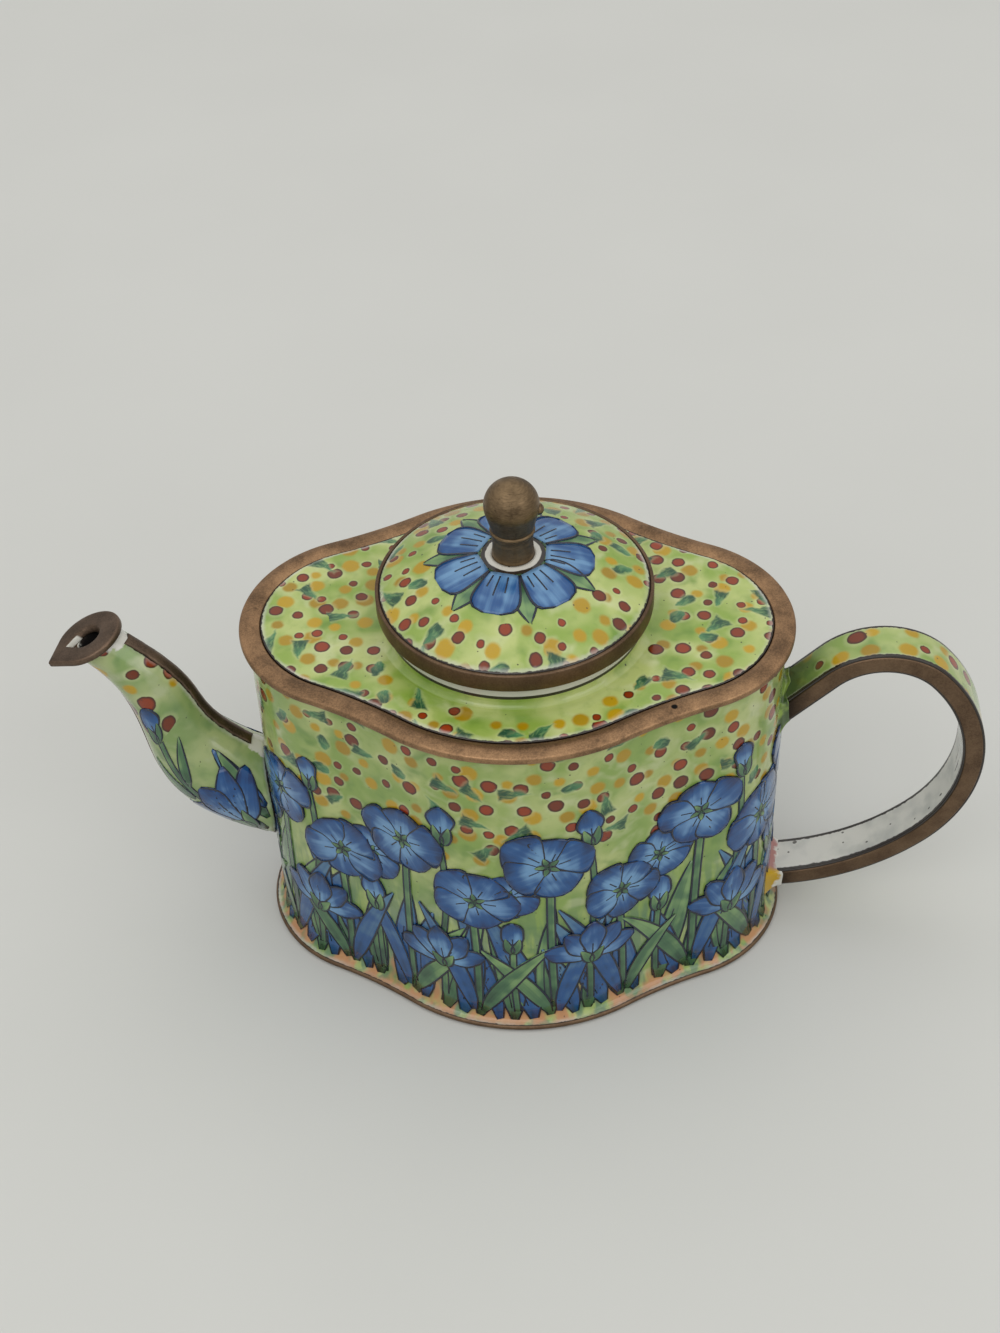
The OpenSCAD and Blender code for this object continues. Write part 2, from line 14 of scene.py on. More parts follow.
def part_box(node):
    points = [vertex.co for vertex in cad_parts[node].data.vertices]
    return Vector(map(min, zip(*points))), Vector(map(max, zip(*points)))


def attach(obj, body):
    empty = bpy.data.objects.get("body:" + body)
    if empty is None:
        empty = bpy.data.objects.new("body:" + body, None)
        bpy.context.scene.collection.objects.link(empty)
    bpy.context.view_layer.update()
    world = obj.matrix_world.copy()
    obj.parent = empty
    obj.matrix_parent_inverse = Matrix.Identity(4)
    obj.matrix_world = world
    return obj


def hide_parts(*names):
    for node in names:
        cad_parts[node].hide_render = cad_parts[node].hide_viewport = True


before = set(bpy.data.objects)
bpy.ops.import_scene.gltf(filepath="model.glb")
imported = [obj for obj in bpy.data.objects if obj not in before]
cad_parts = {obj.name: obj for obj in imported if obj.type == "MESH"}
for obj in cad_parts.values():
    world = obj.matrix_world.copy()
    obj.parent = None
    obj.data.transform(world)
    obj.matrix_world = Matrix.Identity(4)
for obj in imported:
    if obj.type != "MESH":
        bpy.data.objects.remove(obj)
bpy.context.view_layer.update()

MM = 0.001


def box_mm(node):
    """Lowest and highest corner of a solid, in millimetres."""
    low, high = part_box(node)
    return np.array(low) / MM, np.array(high) / MM


# Corners of the solids that the pieces take their sizes from
rim_low, rim_high = box_mm("rim_band")
_, wall_high = box_mm("body_enamel")
foot_low, foot_high = box_mm("foot_enamel")
plate_low, plate_high = box_mm("base_plate")
_, copper_wall_high = box_mm("body_wall")
shoulder_low, shoulder_high = box_mm("shoulder_enamel")
_, collar_high = box_mm("collar_enamel")
_, collar_ring_high = box_mm("collar_ring")
_, seat_high = box_mm("lid_seat_ring")
_, lid_high = box_mm("lid_enamel")
_, disc_high = box_mm("lid_disc")
band_low, band_high = box_mm("lid_rim_band")
_, knob_high = box_mm("knob")
strap_low, strap_high = box_mm("handle_strap")
coat_low, coat_high = box_mm("handle_outer_enamel")

# Offsets of the layers from the rim's outline
wall_grow = wall_high[1] - rim_high[1]
copper_grow = copper_wall_high[1] - rim_high[1]
foot_grow = foot_high[1] - rim_high[1]
plate_grow = plate_high[1] - rim_high[1]
shoulder_grow = shoulder_high[1] - rim_high[1]
enamel = wall_grow - copper_grow
flare_height = foot_high[2] - foot_low[2]
flare_width = foot_grow - wall_grow

# Where the copper wall ends along X, and widths across the handle
wall_end = copper_wall_high[0]
strap_width = strap_high[1] - strap_low[1]
coat_width = coat_high[1] - coat_low[1]

# A coat's back keeps this gap from the copper, and its middle counts as this far from its edges
COAT_GAP = 0.02
FAR_FROM_EDGE = 9.0

# Radii of the body's outline, and how many points it is drawn with
END_RADIUS = 16.5
BULGE_RADIUS = 26.1
WAIST_RADIUS = 66
OUTLINE_POINTS = 480

# Rim: the lift of its middle, the radius of its edges, and the place of a pit in it
RIM_CROWN = 0.18
RIM_EDGE_RADIUS = 0.4
RIM_PIT = (19.9, -16.2, 51.5)

# Spout, its seam strips, its lip and the pouring hole
SPOUT_ROOT_TOP = 28.2
SPOUT_ROOT_BOTTOM = 12.2
SPOUT_ROOT_HALF_WIDTH = 6.1
SPOUT_REACH = 21
SPOUT_LIP_HEIGHT = 47
SPOUT_LIP_HALF_LENGTH = 3.5
SPOUT_LIP_HALF_WIDTH = 3.3
SPOUT_LIP_TILT = 22
SPOUT_TAPER_POWER = 1.4
SPOUT_EDGE_POWER = 1.5
SPOUT_JOINT_LINE = 0.35
SPOUT_TOP_PULLS = ((15.2, 35), (17.8, 39))
SPOUT_BOTTOM_PULLS = ((25.3, 16), (19.2, 43))
SEAM_WIDTH = 1.8
SEAM_GAP = 0.05
SEAM_SHEET = 0.3
UNDERSIDE_SEAM_WIDTH = 0.9
UNDERSIDE_SEAM_SHEET = 0.15
SEAM_SHARES = (0.05, 0.97)
LIP_HALF_WIDTH = 4.7
LIP_TIP = 6.1
LIP_TURN = 30
LIP_THICKNESS = 0.9
LIP_MARGIN = 0.7
HOLE_HALF_WIDTH = 1.6
HOLE_TIP = 2.6
HOLE_SHIFT = 0.7
HOLE_TURN = 10

# Handle: a straight stretch from the wall, then three bends of radius and turn
HANDLE_TOP = 37.3
HANDLE_SLOPE = 46
HANDLE_STRAIGHT = 8.8
HANDLE_BENDS = ((9.7, 93), (20.6, 88), (30.8, 55))
HANDLE_THICKNESS = 2.9
HANDLE_FOOT = 6.0

# Lid, knob, and the white pad under the knob with its dark ring
LID_EDGE = 0.45
NECK_RADIUS = 2.65
NECK_HEIGHT = 4
NECK_BORE = 1.2
NECK_SINK = 0.05
NECK_MARGIN = 0.3
NECK_HOLLOW = 0.12
GROOVE_DEPTH = 0.08
GROOVE_DROP = 0.9
GROOVE_WIDTH = 0.16
BEAD_RADIUS = 0.35
EGG_ANGLE = 20
NUB_RADIUS = 0.8
NUB_DROP = 0.6
PAD_RADIUS = 3.55
PAD_RING = 0.55

# Painted decoration; dots begin at a height on the wall and at a length along the spout
ROSETTE_RADIUS = 10.2
ROSETTE_PETALS = 7
ROSETTE_PETAL_WIDTH = 7.2
ROSETTE_LEAF_WIDTH = 3.6
ROSETTE_LEAF_TIP = 1.2
ROSETTE_TUCK = 0.2
ROSETTE_MARGIN = 0.7
COVE_MARGIN = 0.9
FRIEZE_COPIES = 9
DOTS_FROM = 31
SPOUT_DOTS_FROM = 21

# Shifts that keep the scattered patterns apart; the two kinds of dot are half a cell apart
AMBER_SHIFT = 3.7
RED_SHIFT = 17.2
DAB_SHIFT = 31.4
PINHOLE_SHIFT = 9.3

# Where a paint begins and where it is full: heights up the collar and the wall, and distances from the wall
COLLAR_LINE_RISE = (1.15, 1.25)
COLLAR_WHITE_RISE = (1.62, 1.72)
LEAFY_FALL = (30.0, 12.0)
SOIL_FALL = (10.0, 3.0)
# The next two darken the handle towards the wall, partly as painted shade of the joint
POOL_AND_SHADE_FALL = (6.0, 1.6)
SCORCH_AND_SHADE_FALL = (5.0, 0.6)

# Chips of paint: widths of lines, depth in the coat, first heights, and steps from one layer to the next
LINE_WIDTH = 0.28
VEIN_WIDTH = 0.18
CHIP_DEPTH = 0.06
FIRST_HEIGHT = 0.05
LINE_LIFT = 0.7
WALL_LAYER = 0.007
WALL_KIND_STEP = 0.0023
SPOUT_LAYER = 0.01
LID_LAYER = 0.07
LID_FIRST_HEIGHT = 0.04
ROSETTE_LIFT = 0.006

# Camera, in pixels of a picture of this size, millimetres and degrees
PICTURE_SIZE = (1000, 1333)
FOCAL_PIXELS = 2029.2
CAMERA_DISTANCE = 272.21
CAMERA_ELEVATION = 42.38
CAMERA_AZIMUTH = 4.65
CAMERA_ROLL = -2.59
CAMERA_SLIDE = (2.7, -9.57)
CAMERA_TARGET = (0, 0, 30)
SENSOR = 36


def paint(red, green, blue):
    """Linear colour of a paint given as it looks, each part from 0 to 255."""
    def linear(part):
        share = part / 255
        return share / 12.92 if share <= 0.04045 else ((share + 0.055) / 1.055) ** 2.4
    return (linear(red), linear(green), linear(blue), 1.0)


# Colours of the enamel's ground and of its margins
PALE_GREEN = paint(186, 198, 122)
MID_GREEN = paint(140, 168, 72)
DEEP_GREEN = paint(102, 140, 48)
CREAM = paint(204, 210, 160)
WHITE_ENAMEL = paint(210, 209, 200)
GREY_ENAMEL = paint(184, 185, 178)
DARK_LINE = paint(40, 33, 28)
SOIL = paint(190, 134, 92)
ROSE = paint(168, 118, 112)
# Dark green of the handle's joints: pooled glaze and painted shade
POOL_AND_SHADE_GREEN = paint(70, 92, 50)
# Grey that dulls the ground, and on the spout paints its shade
GREY_TONE_AND_SHADE = paint(100, 118, 126)
LEAF_SHADE = paint(72, 112, 92)
SCALE = paint(26, 25, 25)

# Colours of the dots and dabs
AMBER_DEEP = paint(156, 122, 2)
AMBER_LIGHT = paint(190, 152, 6)
DULL_RED = paint(102, 40, 6)
BRIGHT_RED = paint(148, 54, 8)
RED_EDGE = paint(66, 30, 14)
TEAL_LIGHT = paint(66, 126, 84)
TEAL_DARK = paint(20, 74, 52)

# Colours of the painted sprigs
NAVY = paint(10, 22, 44)
DEEP_BLUE = paint(10, 46, 88)
MID_BLUE = paint(26, 80, 138)
LIGHT_BLUE = paint(114, 160, 200)
VIOLET_DEEP = paint(16, 46, 100)
VIOLET_LIGHT = paint(110, 152, 196)
LEAF_DARK = paint(28, 58, 44)
LEAF_GREEN = paint(68, 108, 74)
LEAF_LIGHT = paint(132, 166, 106)
BLADE_DARK = paint(20, 56, 92)
BLADE_LIGHT = paint(86, 126, 154)

# Colours of the metals
COPPER_LIGHT = paint(174, 138, 103)
COPPER_MID = paint(108, 86, 66)
BROWN_LIGHT = paint(122, 100, 79)
BROWN_DARK = paint(88, 70, 56)
UMBER_LIGHT = paint(122, 102, 86)
UMBER_DARK = paint(80, 68, 58)
BRONZE_LIGHT = paint(134, 113, 86)
BRONZE_DARK = paint(72, 59, 45)
STEEL_LIGHT = paint(196, 196, 192)
STEEL_DARK = paint(150, 150, 148)

# Colours of the table top
TABLE_DARK = paint(204, 205, 201)
TABLE_LIGHT = paint(211, 212, 208)

FLOAT = "NodeSocketFloat"
VECTOR = "NodeSocketVector"
COLOR = "NodeSocketColor"
INTEGER = "NodeSocketInt"
OBJECT = "NodeSocketObject"
MATERIAL = "NodeSocketMaterial"
GEOMETRY = "NodeSocketGeometry"


class Graph:
    """Short ways to add and join the nodes of one tree."""

    def __init__(self, tree):
        self.tree = tree

    def put(self, socket, value):
        """Joins an output to a socket, or sets the socket's own value."""
        if isinstance(value, bpy.types.NodeSocket):
            self.tree.links.new(value, socket)
        else:
            socket.default_value = value

    def add(self, kind, inputs=None, **settings):
        """Adds a node; its settings come first, because they decide which sockets it has."""
        node = self.tree.nodes.new(kind)
        for name, value in settings.items():
            setattr(node, name, value)
        for name, value in (inputs or {}).items():
            self.put(node.inputs[name], value)
        return node

    def group(self, tree, **inputs):
        """Places a shader group and gives its outputs."""
        named = {name.capitalize(): value for name, value in inputs.items()}
        return self.add("ShaderNodeGroup", named, node_tree=tree).outputs

    def math(self, operation, *values):
        node = self.add("ShaderNodeMath", operation=operation)
        for socket, value in zip(node.inputs, values):
            self.put(socket, value)
        return node.outputs[0]

    def times(self, *values):
        """Product of two or more values."""
        product = values[0]
        for value in values[1:]:
            product = self.math("MULTIPLY", product, value)
        return product

    def plus(self, first, second):
        return self.math("ADD", first, second)

    def minus(self, first, second):
        return self.math("SUBTRACT", first, second)

    def vector(self, operation, *values):
        node = self.add("ShaderNodeVectorMath", operation=operation)
        for socket, value in zip(node.inputs, values):
            self.put(socket, value)
        return node.outputs["Value" if operation == "LENGTH" else "Vector"]

    def scale(self, vector, factor):
        node = self.add("ShaderNodeVectorMath", {"Vector": vector, "Scale": factor}, operation="SCALE")
        return node.outputs["Vector"]

    def split(self, vector):
        return self.add("ShaderNodeSeparateXYZ", {"Vector": vector}).outputs

    def join(self, x, y, z):
        return self.add("ShaderNodeCombineXYZ", {"X": x, "Y": y, "Z": z}).outputs["Vector"]

    def even(self, value):
        """Vector with the same value along each axis."""
        return self.join(value, value, value)

    def rise(self, value, low, high, bottom=0.0, top=1.0):
        """Smooth step of a value from low to high; low may be the larger."""
        inputs = {"Value": value, "From Min": low, "From Max": high, "To Min": bottom, "To Max": top}
        return self.add("ShaderNodeMapRange", inputs, interpolation_type="SMOOTHSTEP").outputs["Result"]

    def mix(self, share, first, second):
        """Colour between two others."""
        node = self.add("ShaderNodeMix", data_type="RGBA")
        self.put(node.inputs[0], share)
        self.put(node.inputs[6], first)
        self.put(node.inputs[7], second)
        return node.outputs[2]

    def noise(self, place, size, detail=2.0, roughness=0.5):
        """Cloudy value with patches of about a size in millimetres."""
        inputs = {"Vector": place, "Scale": 1 / size, "Detail": detail, "Roughness": roughness}
        return self.add("ShaderNodeTexNoise", inputs).outputs["Fac"]

    def shaken(self, place, size, reach):
        """Place moved about by a cloudy amount, so that what is drawn there has uneven edges."""
        clouds = self.add("ShaderNodeTexNoise", {"Vector": place, "Scale": 1 / size}).outputs["Color"]
        shake = self.scale(self.vector("SUBTRACT", clouds, (0.5, 0.5, 0.5)), reach)
        return self.vector("ADD", place, shake)

    def attribute(self, name):
        """Value that the mesh holds for each point."""
        return self.add("ShaderNodeAttribute", attribute_name=name).outputs["Fac"]


def new_tree(name, kind, inputs, outputs):
    """Node tree with named sockets: its graph, its inner inputs and its inner outputs."""
    tree = bpy.data.node_groups.new(name, kind)
    for label, socket in inputs:
        tree.interface.new_socket(label, in_out="INPUT", socket_type=socket)
    for label, socket in outputs:
        tree.interface.new_socket(label, in_out="OUTPUT", socket_type=socket)
    graph = Graph(tree)
    return graph, graph.add("NodeGroupInput").outputs, graph.add("NodeGroupOutput").inputs


def mottled_ground():
    """Yellow-green ground, brushed on in drifts."""
    g, inner, out = new_tree("mottled_ground", "ShaderNodeTree", [("Place", VECTOR)], [("Color", COLOR)])
    place = inner["Place"]
    bent = g.shaken(place, 7, 4.0)
    drift = g.noise(bent, 7.0, 2.0)
    wash = g.noise(g.vector("MULTIPLY", bent, (0.9, 0.9, 1.2)), 4.2, 2.5)
    pool = g.noise(place, 1.4, 3.0, 0.6)
    color = g.mix(g.rise(drift, 0.36, 0.62), PALE_GREEN, MID_GREEN)
    color = g.mix(g.rise(wash, 0.52, 0.74, 0.0, 0.75), color, DEEP_GREEN)
    color = g.mix(g.rise(wash, 0.46, 0.28, 0.0, 0.6), color, CREAM)
    g.put(out["Color"], g.mix(g.rise(pool, 0.5, 0.8, 0.0, 0.25), color, DEEP_GREEN))
    return g.tree


def scattered_cells(g, inner, shaken, randomness):
    """One random spot in each cell of a plane: its colour of chances and its centre."""
    shift = g.join(inner["Shift"], inner["Shift"], 0.0)
    spacing = g.even(inner["Spacing"])
    cells = g.vector("ADD", g.vector("DIVIDE", shaken, spacing), shift)
    spots = g.add("ShaderNodeTexVoronoi", {"Vector": cells, "Scale": 1.0, "Randomness": randomness},
                  voronoi_dimensions="2D", feature="F1").outputs
    chance = g.add("ShaderNodeSeparateColor", {"Color": spots["Color"]}).outputs
    centre = g.vector("MULTIPLY", g.vector("SUBTRACT", spots["Position"], shift), spacing)
    return chance, centre


def round_dots():
    """Round dabs of paint, one at most in each cell, with a core and a pale ring round each."""
    g, inner, out = new_tree(
        "round_dots", "ShaderNodeTree",
        [("Place", VECTOR), ("Shift", FLOAT), ("Spacing", FLOAT), ("Radius", FLOAT), ("Softness", FLOAT),
         ("Share", FLOAT)],
        [("Dot", FLOAT), ("Core", FLOAT), ("Ring", FLOAT), ("Tint", FLOAT), ("Centre", VECTOR)])
    shaken = g.shaken(inner["Place"], 1.1, 0.34)
    chance, centre = scattered_cells(g, inner, shaken, 0.62)
    away = g.vector("LENGTH", g.vector("MULTIPLY", g.vector("SUBTRACT", shaken, centre), (1.0, 1.0, 0.0)))
    radius = g.times(inner["Radius"], g.rise(chance["Green"], 0.0, 1.0, 0.68, 1.2))
    chosen = g.math("LESS_THAN", chance["Red"], inner["Share"])
    dot = g.rise(away, g.plus(radius, inner["Softness"]), g.minus(radius, inner["Softness"]))
    g.put(out["Dot"], g.times(dot, chosen))
    g.put(out["Core"], g.rise(away, g.times(radius, 0.95), g.times(radius, 0.6)))
    g.put(out["Ring"], g.times(g.rise(away, g.times(radius, 1.7), radius), chosen))
    g.put(out["Tint"], chance["Blue"])
    g.put(out["Centre"], centre)
    return g.tree


def brush_dabs():
    """Short brush strokes, each turned its own way: some are wedges and some are ovals."""
    g, inner, out = new_tree(
        "brush_dabs", "ShaderNodeTree",
        [("Place", VECTOR), ("Shift", FLOAT), ("Spacing", FLOAT), ("Length", FLOAT), ("Width", FLOAT),
         ("Share", FLOAT)],
        [("Dab", FLOAT), ("Ring", FLOAT), ("Streak", FLOAT), ("Centre", VECTOR)])
    shaken = g.shaken(g.shaken(inner["Place"], 1.6, 1.2), 0.7, 0.2)
    chance, centre = scattered_cells(g, inner, shaken, 0.75)
    local = g.split(g.vector("SUBTRACT", shaken, centre))
    turn = g.times(chance["Green"], 2 * math.pi)
    cosine = g.math("COSINE", turn)
    sine = g.math("SINE", turn)
    along = g.plus(g.times(local["X"], cosine), g.times(local["Y"], sine))
    across = g.minus(g.times(local["Y"], cosine), g.times(local["X"], sine))
    length = g.times(inner["Length"], g.rise(chance["Blue"], 0.0, 1.0, 0.75, 1.25))
    reach = g.math("DIVIDE", along, length)
    wedge = g.math("MAXIMUM", g.plus(g.times(reach, 0.62), 0.3), 0.02)
    oval = g.math("SQRT", g.math("MAXIMUM", g.minus(0.16, g.times(reach, reach, 0.64)), 0.0))
    share = g.rise(chance["Blue"], 0.15, 0.5)
    shape = g.plus(g.times(wedge, share), g.times(oval, g.minus(1.0, share)))
    inside = g.minus(g.times(inner["Width"], shape), g.math("ABSOLUTE", across))
    ends = g.times(g.minus(0.5, g.math("ABSOLUTE", reach)), length)
    depth = g.math("MINIMUM", inside, ends)
    chosen = g.math("LESS_THAN", chance["Red"], inner["Share"])
    streak = g.noise(g.join(g.times(across, 3.0), along, chance["Blue"]), 0.9, 3.0)
    strength = g.rise(streak, 0.25, 0.6, 0.72, 0.97)
    g.put(out["Dab"], g.times(g.rise(depth, -0.18, 0.26), chosen, strength))
    g.put(out["Ring"], g.times(g.rise(depth, -0.5, 0.0), chosen))
    g.put(out["Streak"], g.plus(g.times(streak, 0.5), g.times(reach, 0.45)))
    g.put(out["Centre"], centre)
    return g.tree


def coat_border():
    """Edge of an enamel coat: a dark line at the copper and a milky margin beside it."""
    g, inner, out = new_tree("coat_border", "ShaderNodeTree",
                             [("Place", VECTOR), ("Edge", FLOAT), ("Width", FLOAT)],
                             [("Line", FLOAT), ("Margin", FLOAT)])
    ragged = g.times(g.minus(g.noise(inner["Place"], 0.6, 3.0), 0.5), 0.4)
    edge = g.plus(inner["Edge"], ragged)
    g.put(out["Line"], g.rise(edge, g.plus(inner["Width"], 0.06), g.minus(inner["Width"], 0.06)))
    patch = g.rise(g.noise(inner["Place"], 5.0), 0.35, 0.65, 0.25, 1.0)
    g.put(out["Margin"], g.times(g.rise(edge, 0.8, 0.2), patch))
    return g.tree


def fired_surface():
    """Surface of fired enamel: slow waves, a fine peel and a varying gloss."""
    g, inner, out = new_tree("fired_surface", "ShaderNodeTree", [("Place", VECTOR)],
                             [("Height", FLOAT), ("Gloss", FLOAT)])
    waves = g.noise(inner["Place"], 4.5, 2.0)
    peel = g.noise(inner["Place"], 0.7, 2.0)
    g.put(out["Height"], g.plus(waves, g.times(peel, 0.07)))
    g.put(out["Gloss"], g.rise(g.noise(inner["Place"], 2.2, 3.0), 0.3, 0.75, 0.08, 0.22))
    return g.tree


def tarnish():
    """Satin metal: tarnish in clouds, fine grain along a direction, and lighter where the mesh says: edges
    rubbed bright, and painted light on the knob's neck.
    """
    g, inner, out = new_tree("tarnish", "ShaderNodeTree",
                             [("Place", VECTOR), ("Grain", VECTOR), ("Wear", FLOAT)],
                             [("Shade", FLOAT), ("Roughness", FLOAT), ("Height", FLOAT)])
    clouds = g.noise(inner["Place"], 4.0, 4.0, 0.65)
    grain = g.noise(g.vector("MULTIPLY", inner["Place"], inner["Grain"]), 0.2, 2.0, 0.6)
    spots = g.rise(g.noise(inner["Place"], 0.8, 3.0, 0.6), 0.6, 0.74)
    shade = g.plus(g.rise(clouds, 0.28, 0.72, 0.1, 0.75), g.times(inner["Wear"], 0.3))
    shade = g.plus(shade, g.rise(grain, 0.3, 0.7, -0.22, 0.22))
    g.put(out["Shade"], g.minus(shade, g.times(spots, 0.4)))
    g.put(out["Roughness"], g.rise(clouds, 0.3, 0.7, 0.52, 0.4))
    g.put(out["Height"], g.plus(grain, g.times(clouds, 0.6)))
    return g.tree


GROUND = mottled_ground()
DOTS = round_dots()
DABS = brush_dabs()
BORDER = coat_border()
FIRED = fired_surface()
TARNISH = tarnish()


def new_material(name):
    """Material with its graph, its shader and its place in millimetres."""
    material = bpy.data.materials.new(name)
    material.use_nodes = True
    g = Graph(material.node_tree)
    place = g.scale(g.add("ShaderNodeTexCoord").outputs["Object"], 1 / MM)
    return material, g, material.node_tree.nodes["Principled BSDF"], place


def raise_surface(g, shader, height, depth):
    """Joins a height to the shader's normal, with its depth in millimetres."""
    bump = g.add("ShaderNodeBump", {"Height": height, "Strength": 1.0, "Distance": depth * MM})
    g.put(shader.inputs["Normal"], bump.outputs["Normal"])


def finish_enamel(g, shader, place, color):
    """Gives a shader the gloss and surface of fired enamel over a colour."""
    fired = g.group(FIRED, place=place)
    g.put(shader.inputs["Base Color"], color)
    g.put(shader.inputs["Roughness"], fired["Gloss"])
    shader.inputs["IOR"].default_value = 1.5
    shader.inputs["Coat Weight"].default_value = 0.15
    shader.inputs["Coat Roughness"].default_value = 0.04
    raise_surface(g, shader, fired["Height"], depth=0.03)


def add_pinholes(g, place, color, share=0.12, spacing=1.6, radius=0.09):
    """Dark pinholes here and there in the glaze."""
    holes = g.group(DOTS, place=place, shift=PINHOLE_SHIFT, spacing=spacing, radius=radius, softness=0.04,
                    share=share)
    return g.mix(g.times(holes["Dot"], 0.85), color, DARK_LINE)


def add_border(g, place, color, width=0.2, milky=0.6):
    """Milky margin and dark line along the coat's edge."""
    border = g.group(BORDER, place=place, edge=g.attribute("edge"), width=width)
    color = g.mix(g.times(border["Margin"], milky), color, WHITE_ENAMEL)
    return g.mix(border["Line"], color, DARK_LINE)


def everywhere(g, centre):
    """Keeps every dab."""
    return 1.0


def clear_of_rosette(g, centre):
    """Keeps a dab outside the lid's rosette."""
    return g.math("GREATER_THAN", g.vector("LENGTH", centre), ROSETTE_RADIUS + ROSETTE_MARGIN)


def clear_of_collar(g, centre):
    """Keeps a dab outside the cove at the collar's foot."""
    return g.math("GREATER_THAN", g.vector("LENGTH", centre), float(collar_high[0]) + COVE_MARGIN)


def high_on_wall(g, centre):
    """Keeps a dab on the upper part of the wall."""
    return g.math("GREATER_THAN", g.split(centre)["Y"], DOTS_FROM)


def high_on_spout(g, centre):
    """Keeps a dab on the spout's upper half."""
    return g.math("GREATER_THAN", g.split(centre)["X"], SPOUT_DOTS_FROM)


def dotted_color(g, place, flat, room, spacing, share, dab_share, size, red_size, dull_and_shade):
    """Ground with amber and red dots and teal dabs; room keeps one by where its centre lies."""
    # The ground is greyed by a share of grey; on the spout this also paints its shade
    color = g.mix(dull_and_shade, g.group(GROUND, place=place)["Color"], GREY_TONE_AND_SHADE)
    amber = g.group(DOTS, place=flat, shift=AMBER_SHIFT, spacing=spacing, radius=size, softness=0.26,
                    share=share)
    red = g.group(DOTS, place=flat, shift=RED_SHIFT, spacing=spacing, radius=red_size, softness=0.08,
                  share=share)
    dabs = g.group(DABS, place=flat, shift=DAB_SHIFT, spacing=spacing * 1.5, length=3.4, width=2.0,
                   share=dab_share)
    amber_kept = g.times(amber["Dot"], room(g, amber["Centre"]))
    red_kept = room(g, red["Centre"])
    dabs_kept = room(g, dabs["Centre"])
    color = g.mix(g.times(amber_kept, 0.95), color, g.mix(amber["Tint"], AMBER_DEEP, AMBER_LIGHT))
    color = g.mix(g.times(red["Ring"], red_kept, 0.3), color, CREAM)
    red_paint = g.mix(red["Core"], RED_EDGE, g.mix(red["Tint"], DULL_RED, BRIGHT_RED))
    color = g.mix(g.times(red["Dot"], red_kept), color, red_paint)
    color = g.mix(g.times(dabs["Ring"], dabs_kept, 0.25), color, CREAM)
    teal = g.mix(g.rise(dabs["Streak"], 0.1, 0.45), TEAL_LIGHT, TEAL_DARK)
    return g.mix(g.times(dabs["Dab"], dabs_kept), color, teal)


def dotted_enamel(name, room=everywhere, after=None, spacing=3.7, share=0.8, dab_share=0.7, line=0.2,
                  size=1.0, red_size=0.92, dull_and_shade=0.0):
    """Painted enamel with amber and red dots and teal dabs.

    share and dab_share say how many of the cells are filled, and dull greys the ground; on the spout that
    greying is also painted shade. after may paint more over the dots, and line is the width of the coat's
    dark edge.
    """
    material, g, shader, place = new_material(name)
    flat = g.add("ShaderNodeUVMap", uv_map="unrolled").outputs["UV"]
    color = dotted_color(g, place, flat, room, spacing, share, dab_share, size, red_size, dull_and_shade)
    if after:
        color = after(g, place, flat, color)
    color = add_border(g, place, add_pinholes(g, flat, color), line)
    finish_enamel(g, shader, place, color)
    return material


def knob_pad(g, place, flat, color):
    """White pad with a dark ring round the knob."""
    reach = g.vector("LENGTH", g.shaken(flat, 1.2, 0.3))
    color = g.mix(g.rise(reach, PAD_RADIUS + PAD_RING, PAD_RADIUS + PAD_RING - 0.1), color, DARK_LINE)
    return g.mix(g.rise(reach, PAD_RADIUS, PAD_RADIUS - 0.12), color, WHITE_ENAMEL)


def white_collar(g, place, flat, color):
    """Collar left white above a dark line."""
    level = g.minus(g.split(place)["Z"], float(shoulder_high[2]))
    color = g.mix(g.rise(level, *COLLAR_LINE_RISE), color, DARK_LINE)
    return g.mix(g.rise(level, *COLLAR_WHITE_RISE), color, WHITE_ENAMEL)


def planted_foot(g, place, flat, color):
    """Leafy streaks low on the wall, and warm earth at its foot."""
    height = g.split(flat)["Y"]
    streak = g.noise(g.vector("MULTIPLY", place, (1.0, 1.0, 0.18)), 1.6, 3.0)
    leafy = g.times(g.rise(height, *LEAFY_FALL), g.rise(streak, 0.4, 0.58))
    color = g.mix(g.times(leafy, 0.7), color, LEAF_SHADE)
    patch = g.rise(g.noise(g.vector("MULTIPLY", place, (1.0, 1.0, 0.35)), 2.4, 2.0), 0.4, 0.58)
    return g.mix(g.times(g.rise(height, *SOIL_FALL), patch, 0.9), color, SOIL)


def pooled_and_shaded_root(g, place, flat, color):
    """Dark green where the handle leaves the wall: glaze pooled there, and painted shade of the joint."""
    gap = g.minus(g.split(place)["X"], float(wall_end))
    ragged = g.plus(gap, g.times(g.minus(g.noise(place, 2.2), 0.5), 4.0))
    return g.mix(g.rise(ragged, *POOL_AND_SHADE_FALL, top=0.95), color, POOL_AND_SHADE_GREEN)


def white_ends(g, place, flat, color):
    """White patches at the ends of the spout's seam strips."""
    ragged = g.plus(g.attribute("patch"), g.times(g.minus(g.noise(place, 0.9), 0.5), 0.7))
    return g.mix(g.rise(ragged, 0.45, 0.6), color, WHITE_ENAMEL)


def white_enamel(name, border=0.0):
    """White enamel, a little clouded, with pinholes; border is the width of a dark line at its edge."""
    material, g, shader, place = new_material(name)
    color = g.mix(g.rise(g.noise(place, 3.5, 3.0), 0.4, 0.75), WHITE_ENAMEL, GREY_ENAMEL)
    color = add_pinholes(g, place, color, share=0.2, spacing=1.5, radius=0.13)
    aside = g.vector("ADD", place, (5.0, 3.0, 0.0))
    color = add_pinholes(g, aside, color, spacing=2.3, radius=0.24)
    if border:
        color = add_border(g, place, color, border, milky=0.0)
    finish_enamel(g, shader, place, color)
    return material


